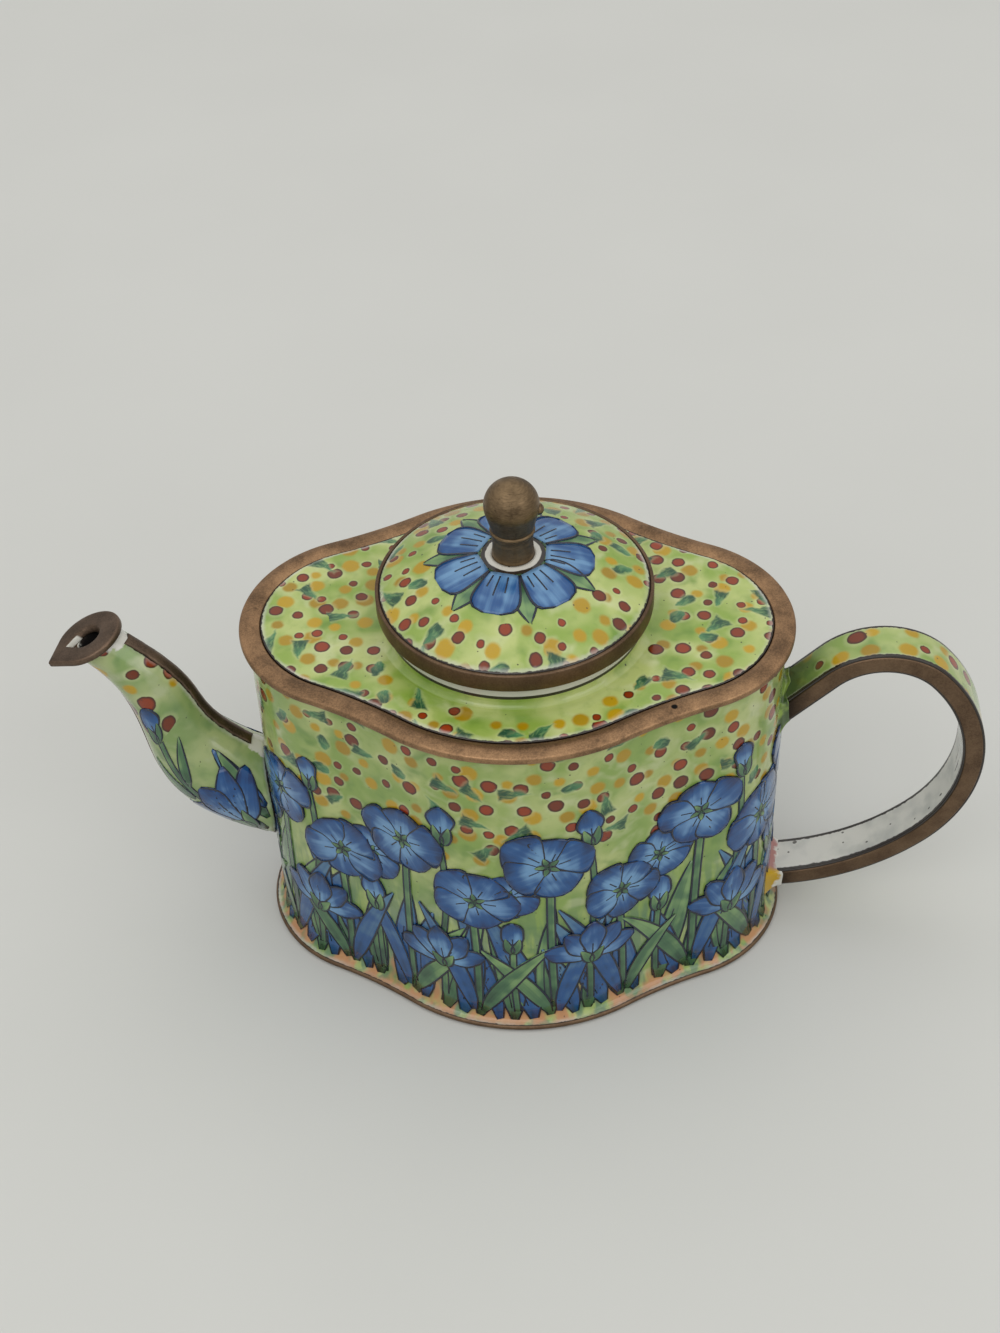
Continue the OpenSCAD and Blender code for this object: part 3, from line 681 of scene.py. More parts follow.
def spout_inside():
    """Inside of the spout: dark fire scale, with white enamel left towards the lip's tip."""
    material, g, shader, place = new_material("spout_inside")
    tilt = math.radians(SPOUT_LIP_TILT)
    at = g.split(g.vector("ADD", place, (wall_end + SPOUT_REACH, 0.0, -SPOUT_LIP_HEIGHT)))
    to_tip = g.minus(g.times(at["X"], -math.cos(tilt)), g.times(at["Z"], math.sin(tilt)))
    ragged = g.plus(to_tip, g.times(g.minus(g.noise(place, 0.8, 3.0), 0.5), 0.8))
    finish_enamel(g, shader, place, g.mix(g.rise(ragged, 2.1, 2.5), SCALE, WHITE_ENAMEL))
    return material


def metal(name, light, dark, grain=(1.0, 1.0, 1.0), has_wear_and_light=True, enamelled=False, scorched_and_shaded=False, pit=None):
    """Tarnished satin metal, lighter where a mesh says so, at rubbed edges and as painted light on the
    knob's neck, and white where an enamelled one does.

    Scorched metal darkens towards the wall at the handle's ends, as scale at the joint and painted shade
    there. A pit is a small dark flaw at a place.
    """
    material, g, shader, place = new_material(name)
    # Lighter where the mesh says: rubbed edges, and painted light on the knob's neck
    wear = g.attribute("wear") if has_wear_and_light else 0.0
    film = g.group(TARNISH, place=place, grain=grain, wear=wear)
    color = g.mix(film["Shade"], dark, light)
    shader.inputs["Metallic"].default_value = 1.0
    # Darker towards the wall: scale at the joint, and painted shade where the handle meets the wall
    if scorched_and_shaded:
        gap = g.minus(g.split(place)["X"], float(wall_end))
        color = g.mix(g.rise(gap, *SCORCH_AND_SHADE_FALL, top=0.85), color, SCALE)
    if pit:
        away = g.vector("LENGTH", g.vector("SUBTRACT", place, pit))
        color = g.mix(g.rise(away, 0.5, 0.3), color, SCALE)
    if enamelled:
        coat = g.rise(g.attribute("white"), 0.35, 0.65)
        color = g.mix(coat, color, WHITE_ENAMEL)
        g.put(shader.inputs["Metallic"], g.minus(1.0, coat))
    g.put(shader.inputs["Base Color"], color)
    g.put(shader.inputs["Roughness"], film["Roughness"])
    raise_surface(g, shader, film["Height"], depth=0.014)
    return material


def brushed_paint(name, palette, other):
    """Paint of a petal or leaf: dark, middle and light along it, in streaks; other is a second palette."""
    material, g, shader, place = new_material(name)
    tone = g.attribute("tone")
    hue = g.attribute("hue")
    stroke = g.join(g.times(g.attribute("side"), 1.6), g.times(tone, 0.5), g.times(hue, 9.0))
    streak = g.noise(stroke, 1.2, 2.0)
    level = g.plus(tone, g.rise(streak, 0.25, 0.75, -0.14, 0.14))
    level = g.plus(level, g.rise(g.noise(place, 2.6, 1.0), 0.3, 0.7, -0.18, 0.18))

    def shaded(colors):
        color = g.mix(g.rise(level, 0.0, 0.5), colors[0], colors[1])
        return g.mix(g.rise(level, 0.45, 1.05, 0.0, 0.9), color, colors[2])

    finish_enamel(g, shader, place, g.mix(hue, shaded(palette), shaded(other)))
    return material


def root_glaze():
    """Glaze run together at the handle's lower end: rose, amber in front and white outside."""
    material, g, shader, place = new_material("root_glaze")
    at = g.split(place)
    ragged = g.times(g.minus(g.noise(place, 1.3), 0.5), 2.4)
    color = g.mix(g.rise(g.plus(at["Y"], ragged), -3.4, -2.0), AMBER_LIGHT, ROSE)
    out = g.plus(g.minus(at["X"], float(wall_high[0])), ragged)
    finish_enamel(g, shader, place, g.mix(g.rise(out, 0.7, 1.3), color, WHITE_ENAMEL))
    return material


def pooled_glaze():
    """Dark green at the handle's upper end: glaze pooled there, and painted shade of the joint."""
    material, g, shader, place = new_material("pooled_glaze")
    color = g.mix(g.rise(g.noise(place, 2.0), 0.4, 0.65), POOL_AND_SHADE_GREEN, MID_GREEN)
    finish_enamel(g, shader, place, color)
    return material


def drawn_line(name, color, thin):
    """Brush-drawn outline, a little uneven in its strength."""
    material, g, shader, place = new_material(name)
    finish_enamel(g, shader, place, g.mix(g.rise(g.noise(place, 0.7), 0.5, 0.8, 0.0, 0.5), color, thin))
    return material


WALL_ENAMEL = dotted_enamel("wall_enamel", high_on_wall, planted_foot, dull_and_shade=0.12)
SHOULDER_ENAMEL = dotted_enamel("shoulder_enamel", clear_of_collar, white_collar, spacing=3.5, red_size=0.85)
LID_ENAMEL = dotted_enamel("lid_enamel", clear_of_rosette, knob_pad, spacing=3.3, share=0.86, red_size=0.72)
# The spout's ground is greyed and darkened more than the rest, as painted shade
SPOUT_ENAMEL = dotted_enamel("spout_enamel", high_on_spout, white_ends, spacing=4.4, dab_share=0.0,
                             size=1.2, red_size=1.1, dull_and_shade=0.3)
# The handle's coat darkens towards the wall, as pooled glaze and painted shade of the joint
HANDLE_ENAMEL = dotted_enamel("handle_enamel", everywhere, pooled_and_shaded_root, spacing=4.4, share=0.85,
                              dab_share=0.0, line=0.44, size=1.1, red_size=1.0, dull_and_shade=0.12)
PLAIN_WHITE = white_enamel("white_enamel")
HANDLE_WHITE = white_enamel("handle_white", border=0.55)
SPOUT_INSIDE = spout_inside()
RIM_COPPER = metal("rim_copper", COPPER_LIGHT, COPPER_MID, pit=RIM_PIT)
# The handle's copper darkens towards the wall, partly as painted shade of the joint
HANDLE_COPPER = metal("handle_copper", BROWN_LIGHT, BROWN_DARK, scorched_and_shaded=True)
BROWN_COPPER = metal("brown_copper", BROWN_LIGHT, BROWN_DARK)
DARK_COPPER = metal("dark_copper", UMBER_LIGHT, UMBER_DARK)
LIP_COPPER = metal("lip_copper", UMBER_LIGHT, UMBER_DARK, enamelled=True)
INNER_COPPER = metal("inner_copper", BROWN_LIGHT, BROWN_DARK, has_wear_and_light=False)
KNOB_BRONZE = metal("knob_bronze", BRONZE_LIGHT, BRONZE_DARK, grain=(0.3, 0.3, 1.6))
SCREW_STEEL = metal("screw_steel", STEEL_LIGHT, STEEL_DARK, has_wear_and_light=False)
PETAL_PAINT = brushed_paint("petal_blue", (DEEP_BLUE, MID_BLUE, LIGHT_BLUE),
                            (VIOLET_DEEP, MID_BLUE, VIOLET_LIGHT))
LEAF_PAINT = brushed_paint("leaf_green", (LEAF_DARK, LEAF_GREEN, LEAF_LIGHT),
                           (BLADE_DARK, MID_BLUE, BLADE_LIGHT))
LINE_PAINT = drawn_line("outline_navy", NAVY, DEEP_BLUE)
ROOT_GLAZE = root_glaze()
POOLED_AND_SHADED_GLAZE = pooled_glaze()


def link(name, mesh):
    """New object of a mesh, in the scene."""
    piece = bpy.data.objects.new(name, mesh)
    bpy.context.scene.collection.objects.link(piece)
    return piece


def set_values(mesh, values):
    """Gives a mesh float values for each point."""
    for label, numbers in values.items():
        layer = mesh.attributes.new(label, "FLOAT", "POINT")
        layer.data.foreach_set("value", np.asarray(numbers, np.float32))


def mesh_piece(name, points, faces, material, values=None, corners=None):
    """Closed object from points in millimetres, with values per point and a flat place per corner."""
    mesh = bpy.data.meshes.new(name)
    mesh.from_pydata((np.asarray(points) * MM).tolist(), [], faces)
    set_values(mesh, values or {})
    if corners is not None:
        layer = mesh.uv_layers.new(name="unrolled")
        layer.data.foreach_set("uv", np.asarray(corners, np.float32).ravel())
    tidy = bmesh.new()
    tidy.from_mesh(mesh)
    bmesh.ops.recalc_face_normals(tidy, faces=tidy.faces)
    tidy.to_mesh(mesh)
    tidy.free()
    mesh.shade_smooth()
    mesh.materials.append(material)
    return link(name, mesh)


def grid_cells(rows, columns, wrap_rows, wrap_columns):
    """Row and column of each cell's corner; a wrapped side has a cell from its last points to its first."""
    for row in range(rows if wrap_rows else rows - 1):
        for column in range(columns if wrap_columns else columns - 1):
            yield row, column, (row + 1) % rows, (column + 1) % columns


def grid_faces(rows, columns, wrap_rows=False, wrap_columns=False):
    """Quads of a grid of points."""
    return [(r * columns + c, r * columns + right, down * columns + right, down * columns + c)
            for r, c, down, right in grid_cells(rows, columns, wrap_rows, wrap_columns)]


def grid_piece(name, points, material, values=None, flat=None, capped=False):
    """Object from rows of points that run round; its rows wrap too, unless its two end rows are capped.

    flat gives each point's place on the unrolled coat, with one more column for the closing points.
    """
    rows, columns = points.shape[:2]
    faces = grid_faces(rows, columns, not capped, True)
    corners = None
    if flat is not None:
        corners = [flat[spot] for r, c, down, _ in grid_cells(rows, columns, not capped, True)
                   for spot in ((r, c), (r, c + 1), (down, c + 1), (down, c))]
    if capped:
        faces += [tuple(row * columns + c for c in range(columns)) for row in (0, rows - 1)]
    spread = {label: np.broadcast_to(v, (rows, columns)).ravel() for label, v in (values or {}).items()}
    return mesh_piece(name, points.reshape(-1, 3), faces, material, spread, corners)


def place_piece(piece, body, slot, *nodes):
    """Rides a piece on a body, in place of its solids."""
    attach(piece, body)
    if nodes:
        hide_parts(*nodes)


def arc(centre, radius, start, end, count):
    """Points on an arc between two angles in degrees."""
    angles = np.radians(np.linspace(start, end, count))
    return np.asarray(centre) + radius * np.column_stack([np.cos(angles), np.sin(angles)])


def direction(angle):
    """Unit vector at an angle in degrees."""
    return np.array([math.cos(math.radians(angle)), math.sin(math.radians(angle))])


def lengths_along(points, axis=0):
    """Running length along lines of points."""
    steps = np.linalg.norm(np.diff(points, axis=axis), axis=-1)
    start = np.zeros_like(np.take(steps, [0], axis=axis))
    return np.concatenate([start, np.cumsum(steps, axis=axis)], axis=axis)


def outline_loop():
    """Evenly spaced points and outward normals of the rim's outline, anticlockwise from the handle end."""
    end = np.array([rim_high[0] - END_RADIUS, 0])
    bulge = np.array([0, rim_high[1] - BULGE_RADIUS])
    step = bulge - end
    distance = np.linalg.norm(step)
    to_end = END_RADIUS + WAIST_RADIUS
    to_bulge = BULGE_RADIUS + WAIST_RADIUS
    along = (to_end ** 2 - to_bulge ** 2 + distance ** 2) / (2 * distance)
    across = math.sqrt(to_end ** 2 - along ** 2)
    waist = end + along * step / distance + across * np.array([step[1], -step[0]]) / distance
    end_turn = math.degrees(math.atan2(*(waist - end)[::-1]))
    bulge_turn = math.degrees(math.atan2(*(waist - bulge)[::-1]))
    quarter = np.vstack([
        arc(end, END_RADIUS, 0, end_turn, OUTLINE_POINTS),
        arc(waist, WAIST_RADIUS, end_turn + 180, bulge_turn + 180, OUTLINE_POINTS)[1:],
        arc(bulge, BULGE_RADIUS, bulge_turn, 90, OUTLINE_POINTS)[1:],
    ])
    back = np.vstack([quarter, (quarter * [-1, 1])[::-1][1:]])
    loop = np.vstack([back, (back * [1, -1])[::-1][1:]])
    run = lengths_along(loop)
    even = np.linspace(0, run[-1], OUTLINE_POINTS, endpoint=False)
    points = np.column_stack([np.interp(even, run, loop[:, 0]), np.interp(even, run, loop[:, 1])])
    tangent = np.roll(points, -1, axis=0) - np.roll(points, 1, axis=0)
    normals = np.column_stack([tangent[:, 1], -tangent[:, 0]])
    return points, normals / np.linalg.norm(normals, axis=1)[:, None]


OUTLINE, OUTWARD = outline_loop()


def at_height(flat, height):
    """Ring of flat points at a height."""
    return np.column_stack([flat, np.broadcast_to(height, len(flat))])


def lofted(profile):
    """Rows of points round the body's outline, one for each offset and height of a profile."""
    return np.array([at_height(OUTLINE + OUTWARD * grow, height) for grow, height in profile])


def seen_from_above(points):
    """Flat place of each point of some rings, with one more column for the closing points."""
    return np.concatenate([points, points[:, :1]], axis=1)[..., :2]


def closed_run(grow):
    """Length along the outline at an offset, for each point and once more for the closing one."""
    ring = OUTLINE + OUTWARD * grow
    return lengths_along(np.vstack([ring, ring[:1]]))


def rounded_box(width, height, radius, steps=5, crown=0.0):
    """Round-cornered rectangle about the origin, anticlockwise; crown lifts the middle of its top."""
    corners = []
    for side, level, start in ((1, 1, 0), (-1, 1, 90), (-1, -1, 180), (1, -1, 270)):
        centre = (side * (width / 2 - radius), level * (height / 2 - radius))
        corners.append(arc(centre, radius, start, start + 90, steps))
    share = np.linspace(1, -1, 9)[1:-1]
    across = share * (width / 2 - radius)
    top = np.column_stack([across, height / 2 + crown * (1 - share ** 2)])
    bottom = np.column_stack([-across, np.full(len(across), -height / 2)])
    return np.vstack([corners[0], top, corners[1], corners[2], bottom, corners[3]])


def corner_wear(profile, width, height, reach):
    """How near each point of a box-like profile lies to one of its corners, from 0 to 1."""
    gap = width / 2 - np.abs(profile[:, 0]) + height / 2 - np.abs(profile[:, 1])
    return np.clip(1 - gap / reach, 0, 1)


def geometry_tree(name, inputs):
    """Geometry tree with named inputs after its geometry, and one geometry out."""
    return new_tree(name, "GeometryNodeTree", [("Geometry", GEOMETRY)] + inputs, [("Geometry", GEOMETRY)])


def end_tree(g, out, geometry, material):
    """Last steps of every geometry tree: a plain mesh with its material."""
    real = g.add("GeometryNodeRealizeInstances", {"Geometry": geometry})
    dressed = g.add("GeometryNodeSetMaterial", {"Geometry": real.outputs["Geometry"], "Material": material})
    g.put(out["Geometry"], dressed.outputs["Geometry"])


def line_of(g, thing):
    """Curve along the edges of an object's mesh."""
    info = g.add("GeometryNodeObjectInfo", {"Object": thing})
    return g.add("GeometryNodeMeshToCurve", {"Mesh": info.outputs["Geometry"]}).outputs["Curve"]


def row_of_points(g, count, *step):
    """Points in a row, each a step on from the last."""
    return g.add("GeometryNodeMeshLine", {"Count": count, "Offset": g.join(*step)}).outputs["Mesh"]


def sweep_tree():
    """Profile swept along a path, with closed ends."""
    g, inner, out = geometry_tree("swept_strap", [
        ("Path", OBJECT), ("Profile", OBJECT), ("Material", MATERIAL)])
    swept = g.add("GeometryNodeCurveToMesh", {
        "Curve": line_of(g, inner["Path"]), "Profile Curve": line_of(g, inner["Profile"]),
        "Fill Caps": True})
    end_tree(g, out, swept.outputs["Mesh"], inner["Material"])
    return g.tree


def chance_between(g, low, high, seed):
    """Random value for each instance."""
    node = g.add("FunctionNodeRandomValue", data_type="FLOAT")
    g.put(node.inputs[2], low)
    g.put(node.inputs[3], high)
    g.put(node.inputs["Seed"], seed)
    return node.outputs[1]


def frieze_tree():
    """Three flat sprigs in turn along the wall, wrapped on it and down over the hollow flare of the foot.

    A sprig lies in its XZ plane, and what it stands out by is along -Y.
    """
    g, inner, out = geometry_tree("wall_frieze", [
        ("First", OBJECT), ("Second", OBJECT), ("Third", OBJECT), ("Wall line", OBJECT),
        ("Copies", INTEGER), ("Pitch", FLOAT), ("Lean", FLOAT), ("Spread", FLOAT), ("Seed", INTEGER),
        ("Flare top", FLOAT), ("Flare height", FLOAT), ("Flare width", FLOAT), ("Material", MATERIAL)])
    line = line_of(g, inner["Wall line"])
    sprigs = g.add("GeometryNodeJoinGeometry")
    for name in ("First", "Second", "Third"):
        sprig = g.add("GeometryNodeObjectInfo", {"Object": inner[name], "As Instance": True})
        g.tree.links.new(sprig.outputs["Geometry"], sprigs.inputs["Geometry"])
    kind = g.math("FLOORED_MODULO", g.add("GeometryNodeInputIndex").outputs["Index"], 3.0)
    row = row_of_points(g, inner["Copies"], inner["Pitch"], 0.0, 0.0)
    lean = chance_between(g, g.times(inner["Lean"], -1.0), inner["Lean"], inner["Seed"])
    smallest = g.minus(1.0, inner["Spread"])
    largest = g.plus(1.0, inner["Spread"])
    size = chance_between(g, smallest, largest, g.plus(inner["Seed"], 1.0))
    copies = g.add("GeometryNodeInstanceOnPoints", {
        "Points": row, "Instance": sprigs.outputs["Geometry"], "Pick Instance": True,
        "Instance Index": kind, "Rotation": g.join(0.0, lean, 0.0), "Scale": g.join(size, 1.0, size)})
    real = g.add("GeometryNodeRealizeInstances", {"Geometry": copies.outputs["Instances"]})
    flat = g.split(g.add("GeometryNodeInputPosition").outputs["Position"])
    whole = g.add("GeometryNodeCurveLength", {"Curve": line}).outputs["Length"]
    run = g.math("FLOORED_MODULO", flat["X"], whole)
    sample = g.add("GeometryNodeSampleCurve", {"Curves": line, "Length": run}, mode="LENGTH").outputs
    tangent = g.split(sample["Tangent"])
    outward = g.vector("NORMALIZE", g.join(tangent["Y"], g.times(tangent["X"], -1.0), 0.0))
    below = g.math("DIVIDE", g.minus(inner["Flare top"], flat["Z"]), inner["Flare height"])
    below = g.math("MINIMUM", g.math("MAXIMUM", below, 0.0), 1.0)
    round_out = g.minus(1.0, g.math("SQRT", g.minus(1.0, g.times(below, below))))
    away = g.minus(g.times(inner["Flare width"], round_out), flat["Y"])
    wall = g.vector("ADD", sample["Position"], g.scale(outward, away))
    spot = g.vector("ADD", wall, g.join(0.0, 0.0, flat["Z"]))
    wrapped = g.add("GeometryNodeSetPosition", {"Geometry": real.outputs["Geometry"], "Position": spot})
    end_tree(g, out, wrapped.outputs["Geometry"], inner["Material"])
    return g.tree


def rosette_tree():
    """Flat petal repeated round the lid's axis and laid on its dome, each copy a little above the last."""
    g, inner, out = geometry_tree("lid_rosette", [
        ("Copies", INTEGER), ("Lift", FLOAT), ("Dome radius", FLOAT), ("Dome centre", FLOAT),
        ("Material", MATERIAL)])
    points = row_of_points(g, inner["Copies"], 0.0, 0.0, inner["Lift"])
    turn = g.math("DIVIDE", 2 * math.pi, inner["Copies"])
    angle = g.times(turn, g.add("GeometryNodeInputIndex").outputs["Index"])
    copies = g.add("GeometryNodeInstanceOnPoints", {
        "Points": points, "Instance": inner["Geometry"], "Rotation": g.join(0.0, 0.0, angle)})
    real = g.add("GeometryNodeRealizeInstances", {"Geometry": copies.outputs["Instances"]})
    at = g.split(g.add("GeometryNodeInputPosition").outputs["Position"])
    reach = g.plus(g.times(at["X"], at["X"]), g.times(at["Y"], at["Y"]))
    dome = g.math("SQRT", g.minus(g.times(inner["Dome radius"], inner["Dome radius"]), reach))
    height = g.plus(g.plus(dome, inner["Dome centre"]), at["Z"])
    laid = g.add("GeometryNodeSetPosition", {
        "Geometry": real.outputs["Geometry"], "Position": g.join(at["X"], at["Y"], height)})
    end_tree(g, out, laid.outputs["Geometry"], inner["Material"])
    return g.tree


SWEEP = sweep_tree()
FRIEZE = frieze_tree()
ROSETTE = rosette_tree()


def grown(piece, tree, **inputs):
    """Runs a geometry tree on an object, keeps the result as its plain mesh and removes the modifier."""
    modifier = piece.modifiers.new("grown", "NODES")
    modifier.node_group = tree
    sockets = [s for s in tree.interface.items_tree if s.in_out == "INPUT"]
    identifiers = {s.name.replace(" ", "_").lower(): s.identifier for s in sockets}
    for name, value in inputs.items():
        modifier[identifiers[name]] = value
    evaluated = piece.evaluated_get(bpy.context.evaluated_depsgraph_get())
    result = bpy.data.meshes.new_from_object(evaluated)
    piece.modifiers.remove(modifier)
    result.name = piece.name
    result.shade_smooth()
    piece.data = result


def guide(name, points, values=None, closed=False):
    """Line of points in millimetres for a geometry tree to follow."""
    mesh = bpy.data.meshes.new(name)
    count = len(points)
    edges = [(i, (i + 1) % count) for i in range(count if closed else count - 1)]
    mesh.from_pydata((np.asarray(points) * MM).tolist(), edges, [])
    set_values(mesh, values or {})
    return link(name, mesh)


def swept_piece(name, path, profile, material, values, closed_path=False):
    """Object swept along a path; a profile's x is to the path's right and its y below or inside it."""
    track = guide(name + "_path", path, closed=closed_path)
    shape = guide(name + "_profile", at_height(profile, 0.0), values, True)
    piece = link(name, bpy.data.meshes.new(name))
    grown(piece, SWEEP, path=track, profile=shape, material=material)
    for helper in (track, shape):
        bpy.data.objects.remove(helper)
    return piece


def wall_coat():
    """Enamel of the wall, which runs out in a hollow flare over the base plate."""
    lip = 0.06
    outer = [(foot_grow - lip, foot_low[2]), (foot_grow, foot_low[2] + lip)]
    for angle in np.radians(np.linspace(0, 90, 13))[1:]:
        outer.append((wall_grow + flare_width * (1 - math.sin(angle)),
                      foot_low[2] + flare_height * (1 - math.cos(angle))))
    outer += [(wall_grow, height) for height in np.linspace(foot_high[2], wall_high[2], 48)[1:]]
    sunk = copper_grow + COAT_GAP
    profile = np.array(outer + [(sunk, wall_high[2]), (sunk, foot_low[2])])
    run = np.tile(closed_run(wall_grow), (len(profile), 1))
    height = np.broadcast_to(profile[:, 1:], run.shape)
    edge = np.minimum(wall_high[2] - profile[:, 1], lengths_along(profile))
    edge[-1] = 0
    piece = grid_piece("wall_enamel", lofted(profile), WALL_ENAMEL, {"edge": edge[:, None]},
                       np.dstack([run, height]))
    place_piece(piece, "pot", "green_enamel", "body_enamel", "foot_enamel")


def rim():
    """Bare copper rim round the top, a little crowned and rounded at its edges."""
    width = -shoulder_grow
    height = rim_high[2] - rim_low[2]
    profile = rounded_box(width, height - RIM_CROWN, RIM_EDGE_RADIUS, 6, RIM_CROWN)
    wear = corner_wear(profile, width, height, reach=0.9)
    middle = (rim_low[2] + rim_high[2] - RIM_CROWN) / 2
    placed = np.column_stack([profile[:, 0] - width / 2, -profile[:, 1] - middle])
    piece = swept_piece("rim", at_height(OUTLINE, 0.0), placed[::-1], RIM_COPPER, {"wear": wear[::-1]},
                        closed_path=True)
    place_piece(piece, "pot", "copper", "rim_band")


def base_edge():
    """Copper base plate with a rounded edge."""
    low = plate_low[2]
    high = plate_high[2]
    radius = (high - low) / 2
    middle = -12
    curve = arc((plate_grow - radius, low + radius), radius, -90, 90, 9)
    profile = np.vstack([[(middle, low)], curve, [(middle, high)]])
    wear = np.concatenate([[0], np.sin(np.linspace(0.2, math.pi - 0.2, 9)), [0]])
    piece = grid_piece("base_edge", lofted(profile), BROWN_COPPER, {"wear": wear[:, None]}, capped=True)
    place_piece(piece, "pot", "dark_copper", "base_plate")


def shoulder_coat():
    """Enamel of the shoulder, which runs up a cove on to the collar."""
    rim_edge = OUTLINE + OUTWARD * shoulder_grow
    reach = np.linalg.norm(rim_edge, axis=1)
    spoke = rim_edge / reach[:, None]
    top = shoulder_high[2]
    cove_outer = collar_high[0]
    collar_finish = collar_ring_high[0] + enamel
    cove = cove_outer - collar_finish
    sunk = collar_ring_high[0] + COAT_GAP
    below = shoulder_low[2] + COAT_GAP
    droop = 0.05
    droop_reach = 0.35
    far = np.full(OUTLINE_POINTS, FAR_FROM_EDGE)
    rings = []
    edges = []
    for share in np.concatenate([np.linspace(0, 0.12, 7), np.linspace(0.12, 1, 28)[1:]]):
        gap = share * (reach - cove_outer)
        rings.append(at_height(rim_edge - spoke * gap[:, None], top - droop * np.exp(-gap / droop_reach)))
        edges.append(gap)
    turned_up = [(cove_outer - cove * math.sin(a), top + cove * (1 - math.cos(a)))
                 for a in np.radians(np.linspace(0, 90, 10))[1:]]
    turned_up += [(collar_finish, height) for height in np.linspace(top + cove, collar_high[2], 6)[1:]]
    for radius, height in turned_up + [(sunk, collar_high[2]), (sunk, below)]:
        rings.append(at_height(spoke * radius, height))
        edges.append(far)
    rings.append(at_height(rim_edge, below))
    edges.append(0 * far)
    points = np.array(rings)
    piece = grid_piece("shoulder_coat", points, SHOULDER_ENAMEL, {"edge": np.array(edges)},
                       seen_from_above(points))
    place_piece(piece, "pot", "green_enamel", "shoulder_enamel", "collar_enamel")


TURN_STEPS = 160
AROUND = np.linspace(0, 2 * math.pi, TURN_STEPS, endpoint=False)
CIRCLE = np.column_stack([np.cos(AROUND), np.sin(AROUND)])

disc_radius = lid_high[0]
disc_crown = disc_high[2]
dome_rise = disc_crown - seat_high[2] - LID_EDGE
dome_radius = (disc_radius ** 2 + dome_rise ** 2) / (2 * dome_rise) + enamel
dome_centre = disc_crown + enamel - dome_radius


def turned(profile):
    """Rows of points: a profile of radius and height turned about the lid's axis."""
    return np.array([at_height(CIRCLE * radius, height) for radius, height in profile])


def dome_height(reach, below=0.0):
    """Height of the lid's enamel at a distance from the axis, or of a layer below its top."""
    return dome_centre + np.sqrt((dome_radius - below) ** 2 - np.asarray(reach) ** 2)


def lid_coat():
    """Enamel of the lid, with a soft brim where it meets the copper band."""
    inner = NECK_RADIUS + 0.03
    brim = 1.2
    droop = 0.07
    droop_reach = 0.3
    reach = np.concatenate([np.linspace(inner, disc_radius - brim, 44),
                            np.linspace(disc_radius - brim, disc_radius, 10)[1:]])
    edge = disc_radius - reach
    upper = np.column_stack([reach, dome_height(reach) - droop * np.exp(-edge / droop_reach)])
    ends = np.array([disc_radius, inner])
    profile = np.vstack([upper, np.column_stack([ends, dome_height(ends, enamel - COAT_GAP)])])
    points = turned(profile)
    all_edges = np.append(edge, [0, FAR_FROM_EDGE])[:, None]
    piece = grid_piece("lid_top", points, LID_ENAMEL, {"edge": all_edges}, seen_from_above(points))
    place_piece(piece, "lid", "green_enamel", "lid_enamel")


def lid_band():
    """Copper band round the lid, with rolled edges."""
    width = band_high[0] - disc_radius
    height = band_high[2] - band_low[2]
    profile = rounded_box(width, height, radius=0.2, steps=6)
    wear = corner_wear(profile, width, height, reach=0.4)
    profile += [disc_radius + width / 2, (band_low[2] + band_high[2]) / 2]
    piece = grid_piece("lid_band", turned(profile), BROWN_COPPER, {"wear": wear[:, None]})
    place_piece(piece, "lid", "dark_copper", "lid_rim_band")


def knob_turning():
    """Turned knob: a neck with a groove, a bead and an egg-shaped ball."""
    ball = knob_high[1]
    crown = knob_high[2]
    centre = crown - ball
    foot = disc_crown - NECK_SINK
    neck_top = disc_crown + NECK_HEIGHT
    profile = [(NECK_BORE, foot), (NECK_RADIUS, foot)]
    for height in np.linspace(foot + NECK_MARGIN, neck_top - NECK_MARGIN, 16):
        hollow = NECK_HOLLOW * math.sin(math.pi * (height - foot) / NECK_HEIGHT) ** 2
        groove = GROOVE_DEPTH * math.exp(-((height - neck_top + GROOVE_DROP) / GROOVE_WIDTH) ** 2)
        profile.append((NECK_RADIUS - hollow - groove, height))
    profile += arc((NECK_RADIUS - BEAD_RADIUS / 2, neck_top), BEAD_RADIUS, -55, 60, 7).tolist()
    ball_start = np.array([0, centre]) + ball * direction(-EGG_ANGLE)
    profile += np.linspace((NECK_RADIUS + 0.02, neck_top + BEAD_RADIUS), ball_start, 8)[:-1].tolist()
    pole = 89.5
    profile += arc((0, centre), ball, -EGG_ANGLE, pole, 26).tolist()
    profile = np.array(profile)
    # The neck is made lighter as painted light against the shade under the ball, and the top is lighter too
    wear = np.interp(profile[:, 1], [foot, neck_top, centre, crown - 1.2, crown], [0.9, 0.8, 0.2, 0.8, 0.9])
    piece = grid_piece("knob_turned", turned(profile), KNOB_BRONZE, {"wear": wear[:, None]}, capped=True)
    place_piece(piece, "lid", "dark_copper", "knob")


def knob_nub():
    """Small cast nub on the knob's side."""
    ring = CIRCLE[::8]
    centre = np.array([knob_high[0] - NUB_RADIUS, 0, knob_high[2] - knob_high[1] - NUB_DROP])
    rows = []
    for along, radius in arc((0, 0), NUB_RADIUS, 88, -40, 10)[:, ::-1]:
        rows.append(centre + np.column_stack([np.full(len(ring), along), ring * radius]))
    piece = grid_piece("knob_nub", np.array(rows), KNOB_BRONZE, {"wear": 0.3}, capped=True)
    place_piece(piece, "lid", "dark_copper")


wall_end_radius = END_RADIUS + copper_grow


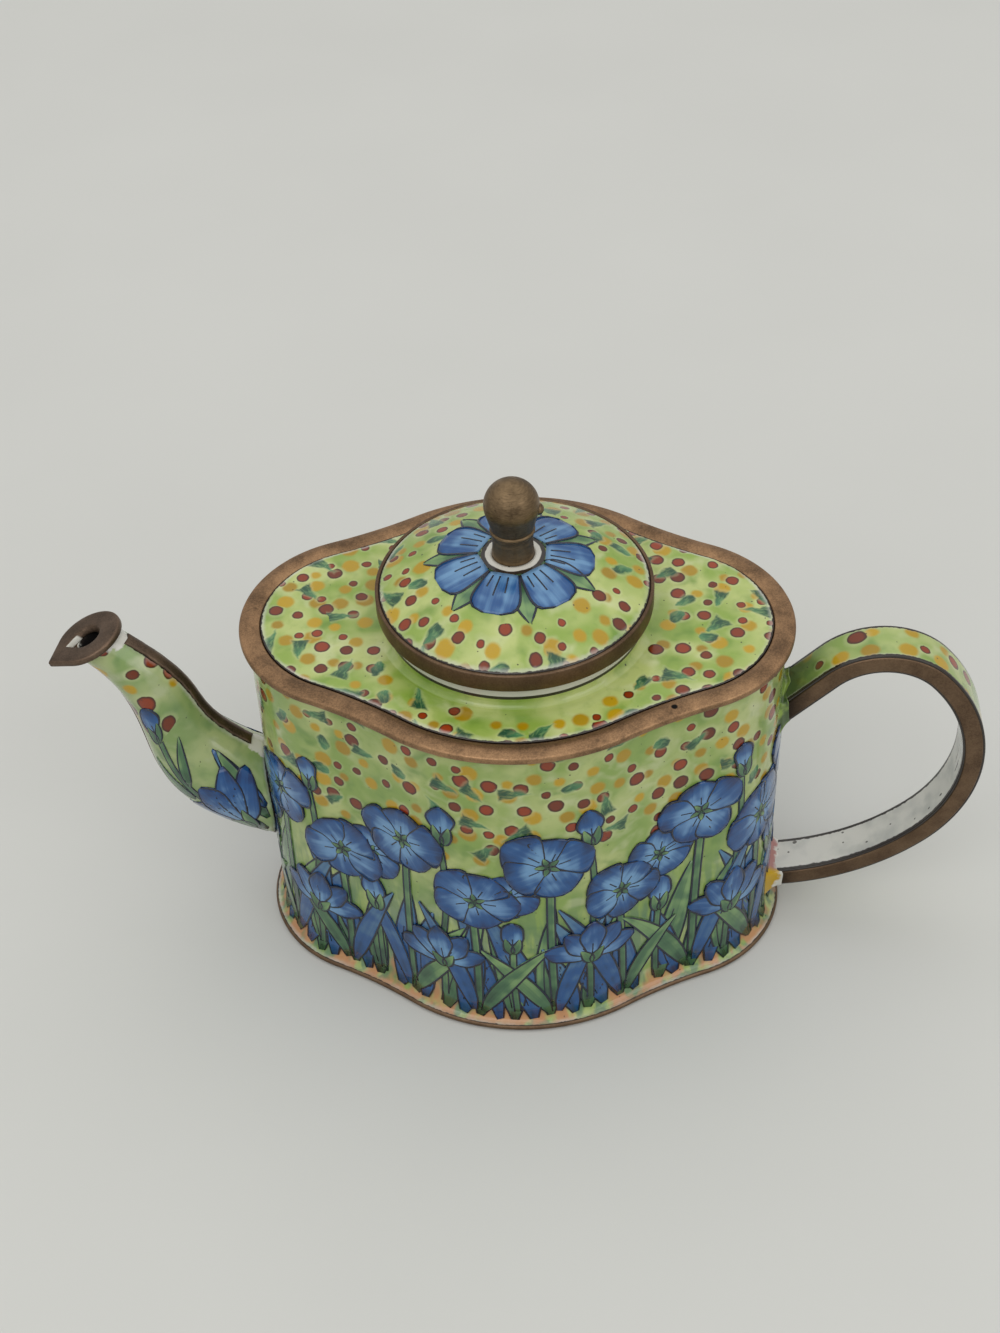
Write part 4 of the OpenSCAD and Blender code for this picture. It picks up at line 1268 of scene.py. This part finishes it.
def spout_curves():
    """Control points of the spout's upper and lower edges, as distance from the wall and height."""
    root = enamel + SPOUT_JOINT_LINE
    middle = np.array([SPOUT_REACH, SPOUT_LIP_HEIGHT])
    lip = SPOUT_LIP_HALF_LENGTH * direction(-SPOUT_LIP_TILT)
    curves = []
    for height, end, pulls in ((SPOUT_ROOT_TOP, middle - lip, SPOUT_TOP_PULLS),
                               (SPOUT_ROOT_BOTTOM, middle + lip, SPOUT_BOTTOM_PULLS)):
        start = np.array([root, height])
        (root_pull, root_slope), (lip_pull, lip_slope) = pulls
        from_root = start + root_pull * direction(root_slope)
        to_lip = end - lip_pull * direction(lip_slope)
        curves.append([start, from_root, to_lip, end])
    return curves


SPOUT_TOP, SPOUT_BOTTOM = spout_curves()


def bezier(p, share):
    """Point at a share of a curve with four control points."""
    t = share[..., None]
    return (1 - t) ** 3 * p[0] + 3 * (1 - t) ** 2 * t * p[1] + 3 * (1 - t) * t ** 2 * p[2] + t ** 3 * p[3]


def spout_half_width(share):
    """Half of the spout's width at a share of its length."""
    taper = SPOUT_ROOT_HALF_WIDTH - SPOUT_LIP_HALF_WIDTH
    return SPOUT_LIP_HALF_WIDTH + taper * (1 - share) ** SPOUT_TAPER_POWER


def spout_point(share, angle, grow=0.0):
    """Points on the spout at shares of its length and angles from the top over the front, in degrees."""
    share, angle, grow = np.broadcast_arrays(share, np.radians(angle), grow)
    upper = bezier(SPOUT_TOP, share)
    lower = bezier(SPOUT_BOTTOM, share)
    half = (upper - lower) / 2
    side = np.sign(np.sin(angle)) * np.abs(np.sin(angle)) ** SPOUT_EDGE_POWER
    across = (spout_half_width(share) + grow) * side
    stretch = 1 + grow / np.linalg.norm(half, axis=-1)
    spot = (upper + lower) / 2 + half * (stretch * np.cos(angle))[..., None]
    fall = wall_end_radius - np.sqrt(wall_end_radius ** 2 - across ** 2)
    return np.stack([-(wall_end + spot[..., 0] - fall * (1 - share) ** 4), -across, spot[..., 1]], axis=-1)


def spout_coat():
    """Enamel of the spout, both halves."""
    shares = np.linspace(0, 1, 73)
    angles = np.linspace(0, 360, 97)
    outer = spout_point(shares[:, None], angles)
    inner = spout_point(shares[::-1, None], angles[:-1], COAT_GAP - enamel)
    points = np.concatenate([outer[:, :-1], inner])
    along = lengths_along(outer[:, 24])
    around = lengths_along(outer, axis=1)
    flat = np.dstack([np.repeat(along[:, None], len(angles), axis=1), around])
    beside = around[:, :-1]
    whole = around[:, -1:]
    from_seam = np.minimum(np.minimum(beside, whole - beside), np.abs(beside - whole / 2))
    in_strip = ((shares > SEAM_SHARES[0]) & (shares < SEAM_SHARES[1]))[:, None]
    from_end = np.minimum(along, along[-1] - along)[:, None]
    underside = np.abs(beside - whole / 2) == from_seam
    strip_half = np.where(underside, UNDERSIDE_SEAM_WIDTH, SEAM_WIDTH) / 2
    from_strip = np.where(in_strip, np.maximum(from_seam - strip_half, 0), FAR_FROM_EDGE)
    edge = np.minimum(from_strip, from_end) + 0.05

    def patch_at(gap, width, length):
        """White patch on the seams, which fades out past a width beside them and a length along them."""
        return np.clip(1.4 - from_seam / width, 0, 1) * np.clip(1.5 - gap[:, None] / length, 0, 1)

    by_root = np.abs(shares - SEAM_SHARES[0] + 0.03)
    patch = np.maximum(patch_at(by_root, 2.2, 0.04), patch_at(1 - shares, 3.2, 0.036))
    values = {"edge": np.concatenate([edge, edge[::-1]]), "patch": np.concatenate([patch, patch[::-1]])}
    piece = grid_piece("spout_enamel", points, SPOUT_ENAMEL, values, np.concatenate([flat, flat[::-1]]))
    place_piece(piece, "pot", "green_enamel", "spout_front_enamel", "spout_rear_enamel")


def seam_strip(name, node, middle, width, sheet):
    """Copper strip over a seam of the spout, flat with rounded sides."""
    shares = np.linspace(*SEAM_SHARES, 60)
    half = np.degrees(np.arcsin((width / 2 / spout_half_width(shares)) ** (1 / SPOUT_EDGE_POWER)))
    ragged = 1 + 0.03 * np.sin(shares * 61) + 0.025 * np.sin(shares * 143 + 1)
    section = [(-1, 0.0), (-1, 0.55), (-0.94, 0.85), (-0.8, 0.98), (-0.4, 1.0), (0, 1.0),
               (0.4, 1.0), (0.8, 0.98), (0.94, 0.85), (1, 0.55), (1, 0.0), (0, 0.0)]
    columns = [spout_point(shares, middle + side * half * ragged, SEAM_GAP + sheet * lift)
               for side, lift in section]
    wear = np.array([0.5 if abs(side) > 0.85 else 0.0 for side, _ in section])
    piece = grid_piece(name, np.stack(columns, axis=1), DARK_COPPER, {"wear": wear}, capped=True)
    place_piece(piece, "pot", "dark_copper", node)


def drop(half_width, tip, turn):
    """Drop outline about the origin: a round end and straight sides to a point, turned by degrees."""
    touch = math.degrees(math.acos(half_width / tip))
    point = np.array([tip, 0])
    round_end = arc((0, 0), half_width, touch, 360 - touch, 72)
    upper = np.linspace(point, round_end[0], 20)[:-1]
    lower = np.linspace(round_end[-1], point, 20)[1:-1]
    cosine, sine = direction(turn)
    return np.vstack([upper, round_end, lower]) @ np.array([[cosine, sine], [-sine, cosine]])


def spout_lip():
    """Copper lip plate with its pouring hole, its tip turned to the front."""
    shift = LIP_HALF_WIDTH - SPOUT_LIP_HALF_LENGTH - LIP_MARGIN
    outer = drop(LIP_HALF_WIDTH, LIP_TIP, -LIP_TURN) + [shift, 0]
    hole = drop(HOLE_HALF_WIDTH, HOLE_TIP, -HOLE_TURN) + [HOLE_SHIFT, 0]
    section = [(0.0, 0.0), (0.0, 0.15), (0.06, 0.55), (0.12, 0.88), (0.15, 0.97), (0.19, 1.0),
               (0.4, 1.0), (0.65, 1.0), (0.9, 1.0), (0.955, 0.97), (0.985, 0.88),
               (1.0, 0.7), (1.0, 0.25), (0.985, 0.08), (0.95, 0.0), (0.5, 0.0)]
    flat = np.array([hole + (outer - hole) * share for share, _ in section])
    lift = LIP_THICKNESS * np.array([level for _, level in section])[:, None]
    wear = np.array([1.0 if share > 0.92 and level > 0.5 else 0.1 for share, level in section])
    run_in = np.array([share < 0.13 and level < 0.9 for share, level in section])
    white = run_in[:, None] * np.clip((hole[:, 0] - 1.6) / 0.8, 0, 1)
    cosine, sine = direction(SPOUT_LIP_TILT)
    tip_way = np.array([-cosine, 0, -sine])
    up_way = np.array([-sine, 0, cosine])
    middle = np.array([-(wall_end + SPOUT_REACH), 0, SPOUT_LIP_HEIGHT])
    points = (middle + flat[..., :1] * tip_way + flat[..., 1:] * np.array([0, 1, 0])
              + lift[..., None] * up_way)
    piece = grid_piece("spout_mouth", points, LIP_COPPER, {"wear": wear[:, None], "white": white})
    place_piece(piece, "pot", "dark_copper", "spout_lip")


def handle_path():
    """Middle line of the handle from the upper end round to the lower, both a little inside the wall."""
    inside = 1.2
    heading = HANDLE_SLOPE
    start = np.array([wall_end, HANDLE_TOP])
    points = [start - inside * direction(heading), start + HANDLE_STRAIGHT / 2 * direction(heading),
              start + HANDLE_STRAIGHT * direction(heading)]
    for radius, turn in HANDLE_BENDS:
        centre = points[-1] - radius * direction(heading + 90)
        points += list(arc(centre, radius, heading + 90, heading + 90 - turn, int(turn / 1.5))[1:])
        heading -= turn
    line = np.array(points)
    lower_half = np.arange(len(line)) > len(line) / 2
    line = line[~lower_half | (line[:, 0] > wall_end - inside)]
    return np.column_stack([line[:, 0], np.zeros(len(line)), line[:, 1]])


def unroll_handle(piece):
    """Gives the handle's coat a flat place: length along the loop, and width."""
    path = handle_path()
    run = lengths_along(path)
    points = np.array([v.co for v in piece.data.vertices]) / MM
    gap = np.linalg.norm(points[:, None, ::2] - path[None, :, ::2], axis=2)
    places = np.column_stack([run[gap.argmin(axis=1)], points[:, 1]])
    corners = np.array([loop.vertex_index for loop in piece.data.loops])
    layer = piece.data.uv_layers.new(name="unrolled")
    layer.data.foreach_set("uv", places[corners].astype(np.float32).ravel())


def handle_layer(name, width, inside, outside, radius, material):
    """Layer of the handle between two offsets from its middle line; outside is away from the loop."""
    height = outside - inside
    profile = rounded_box(width, height, radius)
    values = {"wear": corner_wear(profile, width, height, reach=0.6)[::-1],
              "edge": (width / 2 - np.abs(profile[:, 0]))[::-1]}
    placed = np.column_stack([profile[:, 0], -profile[:, 1] - (inside + outside) / 2])
    return swept_piece(name, handle_path(), placed[::-1], material, values)


def handle():
    """Copper strap with enamel on its outer and inner faces."""
    half = HANDLE_THICKNESS / 2
    core = half - enamel
    sunk = core - 0.1
    coat_corner = 0.16
    strap = handle_layer("handle_copper", strap_width, -core, core, 0.25, HANDLE_COPPER)
    place_piece(strap, "pot", "copper", "handle_strap")
    outer = handle_layer("handle_outer_coat", coat_width, sunk, half, coat_corner, HANDLE_ENAMEL)
    unroll_handle(outer)
    place_piece(outer, "pot", "green_enamel", "handle_outer_enamel")
    inner = handle_layer("handle_inner_coat", coat_width, -half, -sunk, coat_corner, HANDLE_WHITE)
    place_piece(inner, "pot", "white_enamel", "handle_inner_enamel")


class Chips:
    """Thin flat chips of paint, gathered into one mesh; x and z lie flat and -y stands out."""

    def __init__(self):
        self.points = []
        self.faces = []
        self.values = []
        self.count = 0

    def add(self, grid, top, hue=0.0, tones=None):
        """Adds a grid of flat points as a closed chip whose top stands out by a height."""
        rows, columns = grid.shape[:2]
        flat = grid.reshape(-1, 2)
        size = len(flat)
        tones = np.zeros((size, 2)) if tones is None else tones.reshape(-1, 2)
        for depth in (top, -CHIP_DEPTH):
            self.points.append(np.column_stack([flat[:, 0], np.full(size, -depth), flat[:, 1]]))
            self.values.append(np.column_stack([tones, np.full(size, hue)]))
        quads = np.array(grid_faces(rows, columns)) + self.count
        number = np.arange(size).reshape(rows, columns) + self.count
        rim_line = np.concatenate([number[0], number[1:, -1], number[-1, -2::-1], number[-2:0:-1, 0]])
        after = np.roll(rim_line, -1)
        self.faces += quads.tolist() + (quads[:, ::-1] + size).tolist()
        self.faces += np.column_stack([after, rim_line, rim_line + size, after + size]).tolist()
        self.count += 2 * size

    def piece(self, name, material, bend=None):
        """Object of all the chips; bend may move their points."""
        points = np.vstack(self.points)
        values = np.vstack(self.values)
        named = {"tone": values[:, 0], "side": values[:, 1], "hue": values[:, 2]}
        return mesh_piece(name, bend(points) if bend else points, self.faces, material, named)


class Sprig:
    """Petals, leaves and outlines of one painted sprig, drawn flat, with later ones over the rest."""

    def __init__(self, seed, layer, height=FIRST_HEIGHT):
        self.petals = Chips()
        self.leaves = Chips()
        self.lines = Chips()
        self.rng = np.random.default_rng(seed)
        self.layer = layer
        self.height = height

    def layers(self):
        """The sprig's three sets of chips, each with the word for it and its paint."""
        return ((self.petals, "petals", PETAL_PAINT), (self.leaves, "leaves", LEAF_PAINT),
                (self.lines, "outlines", LINE_PAINT))

    def blade(self, chips, shape, tone, root, heading, length, bend=0.0, hue=0.0, veins=()):
        """Draws an outlined blade that turns by bend degrees.

        shape gives its half width along it, and tone how light it is along and across it.
        """
        shares = np.linspace(0.02, 0.98, 11)
        angles = np.radians(heading + bend * shares)
        steps = np.diff(shares, prepend=0.0)[:, None] * length
        ahead = np.column_stack([np.cos(angles), np.sin(angles)])
        middle = np.asarray(root) + np.cumsum(ahead * steps, axis=0)
        left = np.column_stack([-ahead[:, 1], ahead[:, 0]])
        half = shape(shares)

        def strip(from_side, to_side, columns):
            reach = np.linspace(from_side, to_side, columns).T
            return middle[:, None] + left[:, None] * reach[..., None]

        across = np.linspace(-1, 1, 7)
        light = np.broadcast_to(tone(shares[:, None], across), (len(shares), len(across)))
        tones = np.dstack([light, half[:, None] * across])
        chips.add(strip(-half, half, len(across)), self.height, hue, tones)
        line = np.minimum(LINE_WIDTH, 0.4 * half)
        drawn = [strip(half - line, half, 2), strip(-half, line - half, 2)]
        vein = VEIN_WIDTH / 2
        drawn += [strip(half * side - vein, half * side + vein, 2)[1:rows] for side, rows in veins]
        for grid in drawn:
            self.lines.add(grid, self.height + LINE_LIFT * self.layer)
        self.height += self.layer

    def petal(self, root, heading, length, width, bend=0.0, hue=0.0):
        """Draws a round-ended petal with a short vein, pale at its root and deep towards its edge."""
        wave = self.rng.uniform(0, 6)

        def shape(shares):
            frill = 1 + 0.09 * np.sin(9 * shares + wave)
            return width / 2 * np.sin(math.pi * shares ** 1.3) ** 0.62 * frill

        self.blade(self.petals, shape, lambda share, side: 1.3 - 1.1 * share - 0.35 * side ** 2,
                   root, heading, length, bend, hue, ((0.0, 5),))

    def broad_petal(self, root, heading, length, width):
        """Draws a petal that begins wide, with long veins."""
        self.blade(self.petals, lambda shares: width / 2 * (0.55 + 0.6 * shares) * np.sqrt(1 - shares ** 5),
                   lambda share, side: 1.05 - 0.45 * share - 0.4 * side ** 2,
                   root, heading, length, veins=((-0.55, 5), (-0.15, 7), (0.3, 6)))

    def leaf(self, root, heading, length, width, bend=0.0, hue=0.0, veins=()):
        """Draws a pointed leaf, dark at its root."""
        self.blade(self.leaves, lambda shares: width / 2 * np.sin(math.pi * shares ** 0.72) ** 0.7,
                   lambda share, side: 0.34 + 0.56 * share, root, heading, length, bend, hue, veins)

    def level_leaves(self, leaves):
        """Draws leaves that hardly meet, all at one height."""
        level = self.height
        for leaf in leaves:
            self.height = level
            self.leaf(*leaf)

    def leaf_pair(self, root, heading, spread, length, width, bend):
        """Draws two small leaves, one to each side of a heading."""
        self.level_leaves([(root, heading + spread * side, length, width, bend * side) for side in (-1, 1)])

    def stem(self, root, heading, length, width, bend=0.0):
        """Draws an even stem."""
        self.blade(self.leaves, lambda shares: np.full(len(shares), width / 2),
                   lambda share, side: 0.32 + 0.4 * share, root, heading, length, bend)

    def blossom(self, centre, radius, turn, count=5):
        """Draws a blossom of wavy petals about a leafy eye, a little flattened by how it faces."""
        hue = self.rng.uniform(0, 1)
        facing = self.rng.uniform(-25, 25)
        for k in range(count):
            heading = turn + 360 / count * k + self.rng.uniform(-9, 9)
            seen = 0.72 + 0.28 * abs(math.cos(math.radians(heading - facing)))
            self.petal(np.asarray(centre) + 0.1 * radius * direction(heading), heading,
                       seen * radius * self.rng.uniform(0.86, 0.98), radius * self.rng.uniform(0.9, 1.12),
                       self.rng.uniform(-16, 16), hue)
        eye = [(centre, turn + 360 / count * (k + 0.5), radius * 0.26, radius * 0.16) for k in range(count)]
        self.level_leaves(eye)

    def cup(self, root, heading, size):
        """Draws a half-open blossom from the side: petals fanned out of a green cup."""
        hue = self.rng.uniform(0, 1)
        for spread in (-56, 56, -28, 28, 0):
            length = size * self.rng.uniform(0.88, 1.0)
            self.petal(root, heading + spread, length, size * 0.5, 0.5 * spread, hue)
        below = root - 0.12 * size * direction(heading)
        self.leaf_pair(below, heading, 24, size * 0.42, size * 0.24, 14)

    def bud(self, root, heading, size):
        """Draws a closed bud held by two small leaves."""
        self.petal(np.asarray(root) + 0.2 * size * direction(heading), heading, size, size * 0.68)
        self.leaf_pair(root, heading, 28, size * 0.64, size * 0.3, -20)


FRIEZE_PITCH = closed_run(wall_grow)[-1] / FRIEZE_COPIES


def wall_sprig(kind):
    """Flat sprig for the wall: three blossoms, a half-open one, two buds and a bed of blade leaves.

    Each kind lies a little above the last, so that neighbours never share a height.
    """
    sprig = Sprig(11 + kind, WALL_LAYER, FIRST_HEIGHT + WALL_KIND_STEP * kind)
    half = FRIEZE_PITCH / 2
    blades = 8
    chance = sprig.rng.uniform
    for k in range(blades):
        across = (k - blades / 2) * FRIEZE_PITCH / blades + chance(-0.6, 0.6)
        root = (across, foot_low[2] + chance(0.06, 0.45))
        sprig.leaf(root, 90 + chance(-16, 16), chance(13, 24), chance(3.2, 4.4), chance(-26, 26),
                   hue=float(k % 2), veins=((0.3, 7),))
    tall = 32 + chance(-1.5, 1.5)
    middle = 23.4 + chance(-1.5, 1.5)
    sprig.stem((half / 2 + 0.2, 15.0), 80, 19.5, 1.0, 16)
    sprig.stem((half / 2, 2.0), 86, 10.0, 1.2, 6)
    sprig.stem((-half / 2, 2.0), 94, 13.5, 1.1, -6)
    sprig.blossom((-half / 2 - 0.4, 25.6 + chance(-1.2, 1.2)), chance(4.8, 5.4), 40 + chance(-20, 20))
    sprig.stem((0.2, 2.4), 92, tall - 5.4, 1.3, -4)
    sprig.stem((half, 2.4), 88, middle - 4.4, 1.3, 6)
    for centre in (0.0, half):
        side = 1 if chance(-1, 1) > 0 else -1
        sprig.leaf((centre + 0.5 * side, 2.0), 90 - 22 * side, chance(14, 18), 2.8, -24 * side)
        sprig.leaf((centre - 0.5 * side, 2.0), 90 + 12 * side, chance(18, 24), 3.0, 18 * side, 1.0)
    sprig.bud((half / 2 + 1.1, 34.2), 92 + chance(-8, 8), chance(4.8, 5.8))
    sprig.bud((-half / 2 - 0.2, 15.0), 90 + chance(-12, 12), chance(5.0, 6.2))
    sprig.blossom((half, middle), chance(5.8, 6.6), -90 + chance(-20, 20))
    sprig.blossom((0.0, tall), chance(6.2, 7.0), 90 + chance(-20, 20))
    sprig.cup(np.array([half / 2 + 0.4, 11.6 + chance(-1.0, 1.0)]), 88 + chance(-12, 12), chance(7.2, 8.2))
    return sprig


def wall_frieze():
    """Painted sprigs round the wall."""
    kinds = [wall_sprig(kind) for kind in range(3)]
    track = guide("wall_line", at_height(OUTLINE + OUTWARD * wall_grow, 0.0), closed=True)
    for layers in zip(*(sprig.layers() for sprig in kinds)):
        _, word, material = layers[0]
        first, second, third = [chips.piece("sprig", material) for chips, _, _ in layers]
        name = "wall_" + word
        piece = link(name, bpy.data.meshes.new(name))
        grown(piece, FRIEZE, first=first, second=second, third=third, wall_line=track, copies=FRIEZE_COPIES,
              pitch=FRIEZE_PITCH * MM, lean=math.radians(2.5), spread=0.04, seed=5,
              flare_top=foot_high[2] * MM, flare_height=flare_height * MM, flare_width=flare_width * MM,
              material=material)
        for helper in (first, second, third):
            bpy.data.objects.remove(helper)
        place_piece(piece, "pot", "green_enamel")
    bpy.data.objects.remove(track)


def lid_rosette():
    """Painted rosette round the knob: a ring of round petals over a ring of leaf tips."""
    sprig = Sprig(3, LID_LAYER, LID_FIRST_HEIGHT)
    start = PAD_RADIUS + PAD_RING - ROSETTE_TUCK
    half_turn = 180 / ROSETTE_PETALS
    leaf_length = ROSETTE_RADIUS + ROSETTE_LEAF_TIP - start
    sprig.leaf(start * direction(half_turn), half_turn, leaf_length, ROSETTE_LEAF_WIDTH)
    sprig.broad_petal((start, 0.0), 0.0, ROSETTE_RADIUS - start, ROSETTE_PETAL_WIDTH)
    for chips, word, material in sprig.layers():
        piece = chips.piece("lid_" + word, material, lambda points: points[:, [0, 2, 1]] * [1, 1, -1])
        grown(piece, ROSETTE, copies=ROSETTE_PETALS, lift=ROSETTE_LIFT * MM, dome_radius=dome_radius * MM,
              dome_centre=dome_centre * MM, material=material)
        place_piece(piece, "lid", "green_enamel")


def wrap_on_spout(points, middle, way):
    """Lays flat points on a side of the spout: x runs up it, z towards its top and -y stands out."""
    shares = np.linspace(0, 1, 60)
    grid = spout_point(shares[:, None], np.linspace(0, 180, 40))
    along = lengths_along(grid[:, 20])
    girth = lengths_along(grid, axis=1)[:, -1]
    share = np.interp(points[:, 0], along, shares)
    angle = middle - way * points[:, 2] / np.interp(share, shares, girth) * 180
    return spout_point(share, angle, -points[:, 1])


def spout_sprays():
    """Painted spray on each side of the spout: a blossom between leaves, with buds above it."""
    for side, middle, way in (("front", 90, 1), ("back", 270, -1)):
        sprig = Sprig(23, SPOUT_LAYER)
        for height, heading, hue in ((-6.0, 4, 1.0), (-3.0, 10, 0.0), (1.4, 26, 1.0), (-0.4, 44, 0.0)):
            sprig.leaf((0.8, height), heading, 11.0, 3.0, -0.6 * heading, hue)
        sprig.stem((9.0, -2.5), 12, 11.5, 1.1, -10)
        sprig.leaf((12.5, -1.6), 42, 7.0, 2.0, -24)
        sprig.leaf((11.0, -3.0), -16, 8.0, 2.0, 18)
        sprig.bud((20.3, -1.4), 4, 4.8)
        sprig.cup(np.array([3.4, -3.0]), 16, 9.0)
        for chips, word, material in sprig.layers():
            piece = chips.piece(f"spout_{side}_{word}", material, lambda p: wrap_on_spout(p, middle, way))
            place_piece(piece, "pot", "green_enamel")


def handle_glaze(name, height, slope, reach, material):
    """Lump of glaze round an end of the handle, spread on the wall and thin along the strap."""
    radius = END_RADIUS + wall_grow
    centre = rim_high[0] - END_RADIUS
    lean = math.radians(slope)
    over = 0.1
    skirt = 1.6
    ring = rounded_box(strap_width + over, (HANDLE_THICKNESS + over) / math.cos(lean), radius=0.4)
    turn = np.arctan2(ring[:, 1], ring[:, 0])
    lumps = 1 + 0.3 * np.sin(2 * turn + 0.6) + 0.2 * np.sin(5 * turn)
    away = ring / np.linalg.norm(ring, axis=1)[:, None]
    rows = []
    for share in np.linspace(0, 1, 10):
        spread = ring + away * (skirt * lumps * (1 - share) ** 2.5)[:, None]
        x = centre + np.sqrt(radius ** 2 - spread[:, 0] ** 2) - over + reach * lumps * share * math.cos(lean)
        z = height + spread[:, 1] + (x - wall_end) * math.tan(lean)
        rows.append(np.column_stack([x, spread[:, 0], z]))
    piece = grid_piece(name, np.array(rows), material, capped=True)
    place_piece(piece, "pot", "green_enamel")


def dress_solids():
    """Gives the solids that still show their own finishes."""
    finishes = {
        PLAIN_WHITE: ("base_enamel", "interior_enamel", "lid_lining"),
        SPOUT_INSIDE: ("spout_lining",),
        INNER_COPPER: ("body_wall", "shoulder_plate", "collar_ring", "spout_front_half", "spout_rear_half",
                       "lid_flange", "lid_seat_ring", "lid_disc"),
        SCREW_STEEL: ("knob_screw", "knob_washer"),
    }
    for material, nodes in finishes.items():
        for node in nodes:
            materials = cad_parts[node].data.materials
            materials.clear()
            materials.append(material)


def floor():
    """Wide pale table top."""
    half = 2.0
    mesh = bpy.data.meshes.new("table_top")
    corners = [(-half, -half, 0), (half, -half, 0), (half, half, 0), (-half, half, 0)]
    mesh.from_pydata(corners, [], [(0, 1, 2, 3)])
    material, g, shader, place = new_material("table_top")
    color = g.mix(g.noise(place, 60.0, 3.0), TABLE_DARK, TABLE_LIGHT)
    g.put(shader.inputs["Base Color"], color)
    shader.inputs["Roughness"].default_value = 0.7
    mesh.materials.append(material)
    link("table_top", mesh)


def softbox(name, location, size, power):
    """Soft rectangular lamp that faces the pot."""
    lamp = bpy.data.lights.new(name, "AREA")
    lamp.shape = "RECTANGLE"
    lamp.size, lamp.size_y = size
    lamp.energy = power
    holder = bpy.data.objects.new(name, lamp)
    holder.location = location
    towards = Vector((0, 0, 0.03)) - Vector(location)
    holder.rotation_euler = towards.to_track_quat("-Z", "Y").to_euler()
    bpy.context.scene.collection.objects.link(holder)


def light():
    """Soft light from a bright ceiling, with a weaker lamp in front and one at the side.

    Low down the room shows pale to the eye and in metal, and throws less light than it shows.
    """
    world = bpy.data.worlds.new("pale_room")
    world.use_nodes = True
    g = Graph(world.node_tree)
    background = world.node_tree.nodes["Background"]
    background.inputs["Color"].default_value = (1.0, 0.99, 0.97, 1.0)
    upward = g.split(g.add("ShaderNodeTexCoord").outputs["Generated"])["Z"]
    room = g.rise(upward, -0.1, 1.0, 0.12, 1.06)
    ray = g.add("ShaderNodeLightPath").outputs
    seen = g.plus(g.plus(ray["Is Camera Ray"], ray["Is Glossy Ray"]), ray["Is Transmission Ray"])
    backdrop = g.times(g.math("MINIMUM", seen, 1.0), 0.56)
    g.put(background.inputs["Strength"], g.math("MAXIMUM", room, backdrop))
    bpy.context.scene.world = world
    softbox("high_light", location=(-0.3, -0.8, 0.9), size=(0.9, 0.6), power=2.4)
    softbox("side_fill", location=(0.8, -0.5, 0.6), size=(0.6, 0.6), power=1.5)


def camera():
    """Camera that looks down at the pot's front."""
    azimuth, elevation, roll = (math.radians(a) for a in (CAMERA_AZIMUTH, CAMERA_ELEVATION, CAMERA_ROLL))
    back = np.array([math.sin(azimuth) * math.cos(elevation), -math.cos(azimuth) * math.cos(elevation),
                     math.sin(elevation)])
    level = np.array([math.cos(azimuth), math.sin(azimuth), 0])
    upright = np.cross(back, level)
    right = level * math.cos(roll) + upright * math.sin(roll)
    up = upright * math.cos(roll) - level * math.sin(roll)
    location = (np.array(CAMERA_TARGET) + CAMERA_DISTANCE * back
                - CAMERA_SLIDE[0] * right - CAMERA_SLIDE[1] * up)
    lens = bpy.data.cameras.new("camera")
    lens.sensor_width = SENSOR
    lens.lens = FOCAL_PIXELS / max(PICTURE_SIZE) * SENSOR
    lens.clip_start = 0.01
    eye = bpy.data.objects.new("camera", lens)
    matrix = np.eye(4)
    matrix[:3] = np.column_stack([right, up, back, location * MM])
    eye.matrix_world = Matrix(matrix.tolist())
    bpy.context.scene.collection.objects.link(eye)
    bpy.context.scene.camera = eye


camera()
floor()
light()
wall_coat()
rim()
base_edge()
shoulder_coat()
lid_coat()
lid_band()
knob_turning()
knob_nub()
spout_coat()
seam_strip("spout_top_strip", "spout_top_seam", 0, SEAM_WIDTH, SEAM_SHEET)
seam_strip("spout_bottom_strip", "spout_bottom_seam", 180, UNDERSIDE_SEAM_WIDTH, UNDERSIDE_SEAM_SHEET)
spout_lip()
handle()
wall_frieze()
lid_rosette()
spout_sprays()
handle_glaze("handle_root_glaze", HANDLE_FOOT, slope=0, reach=2.0, material=ROOT_GLAZE)
# The upper lump is dark green, as pooled glaze and painted shade of the joint
handle_glaze("handle_top_glaze", HANDLE_TOP, HANDLE_SLOPE, reach=1.6, material=POOLED_AND_SHADED_GLAZE)
dress_solids()
bpy.context.scene.view_settings.view_transform = "Standard"
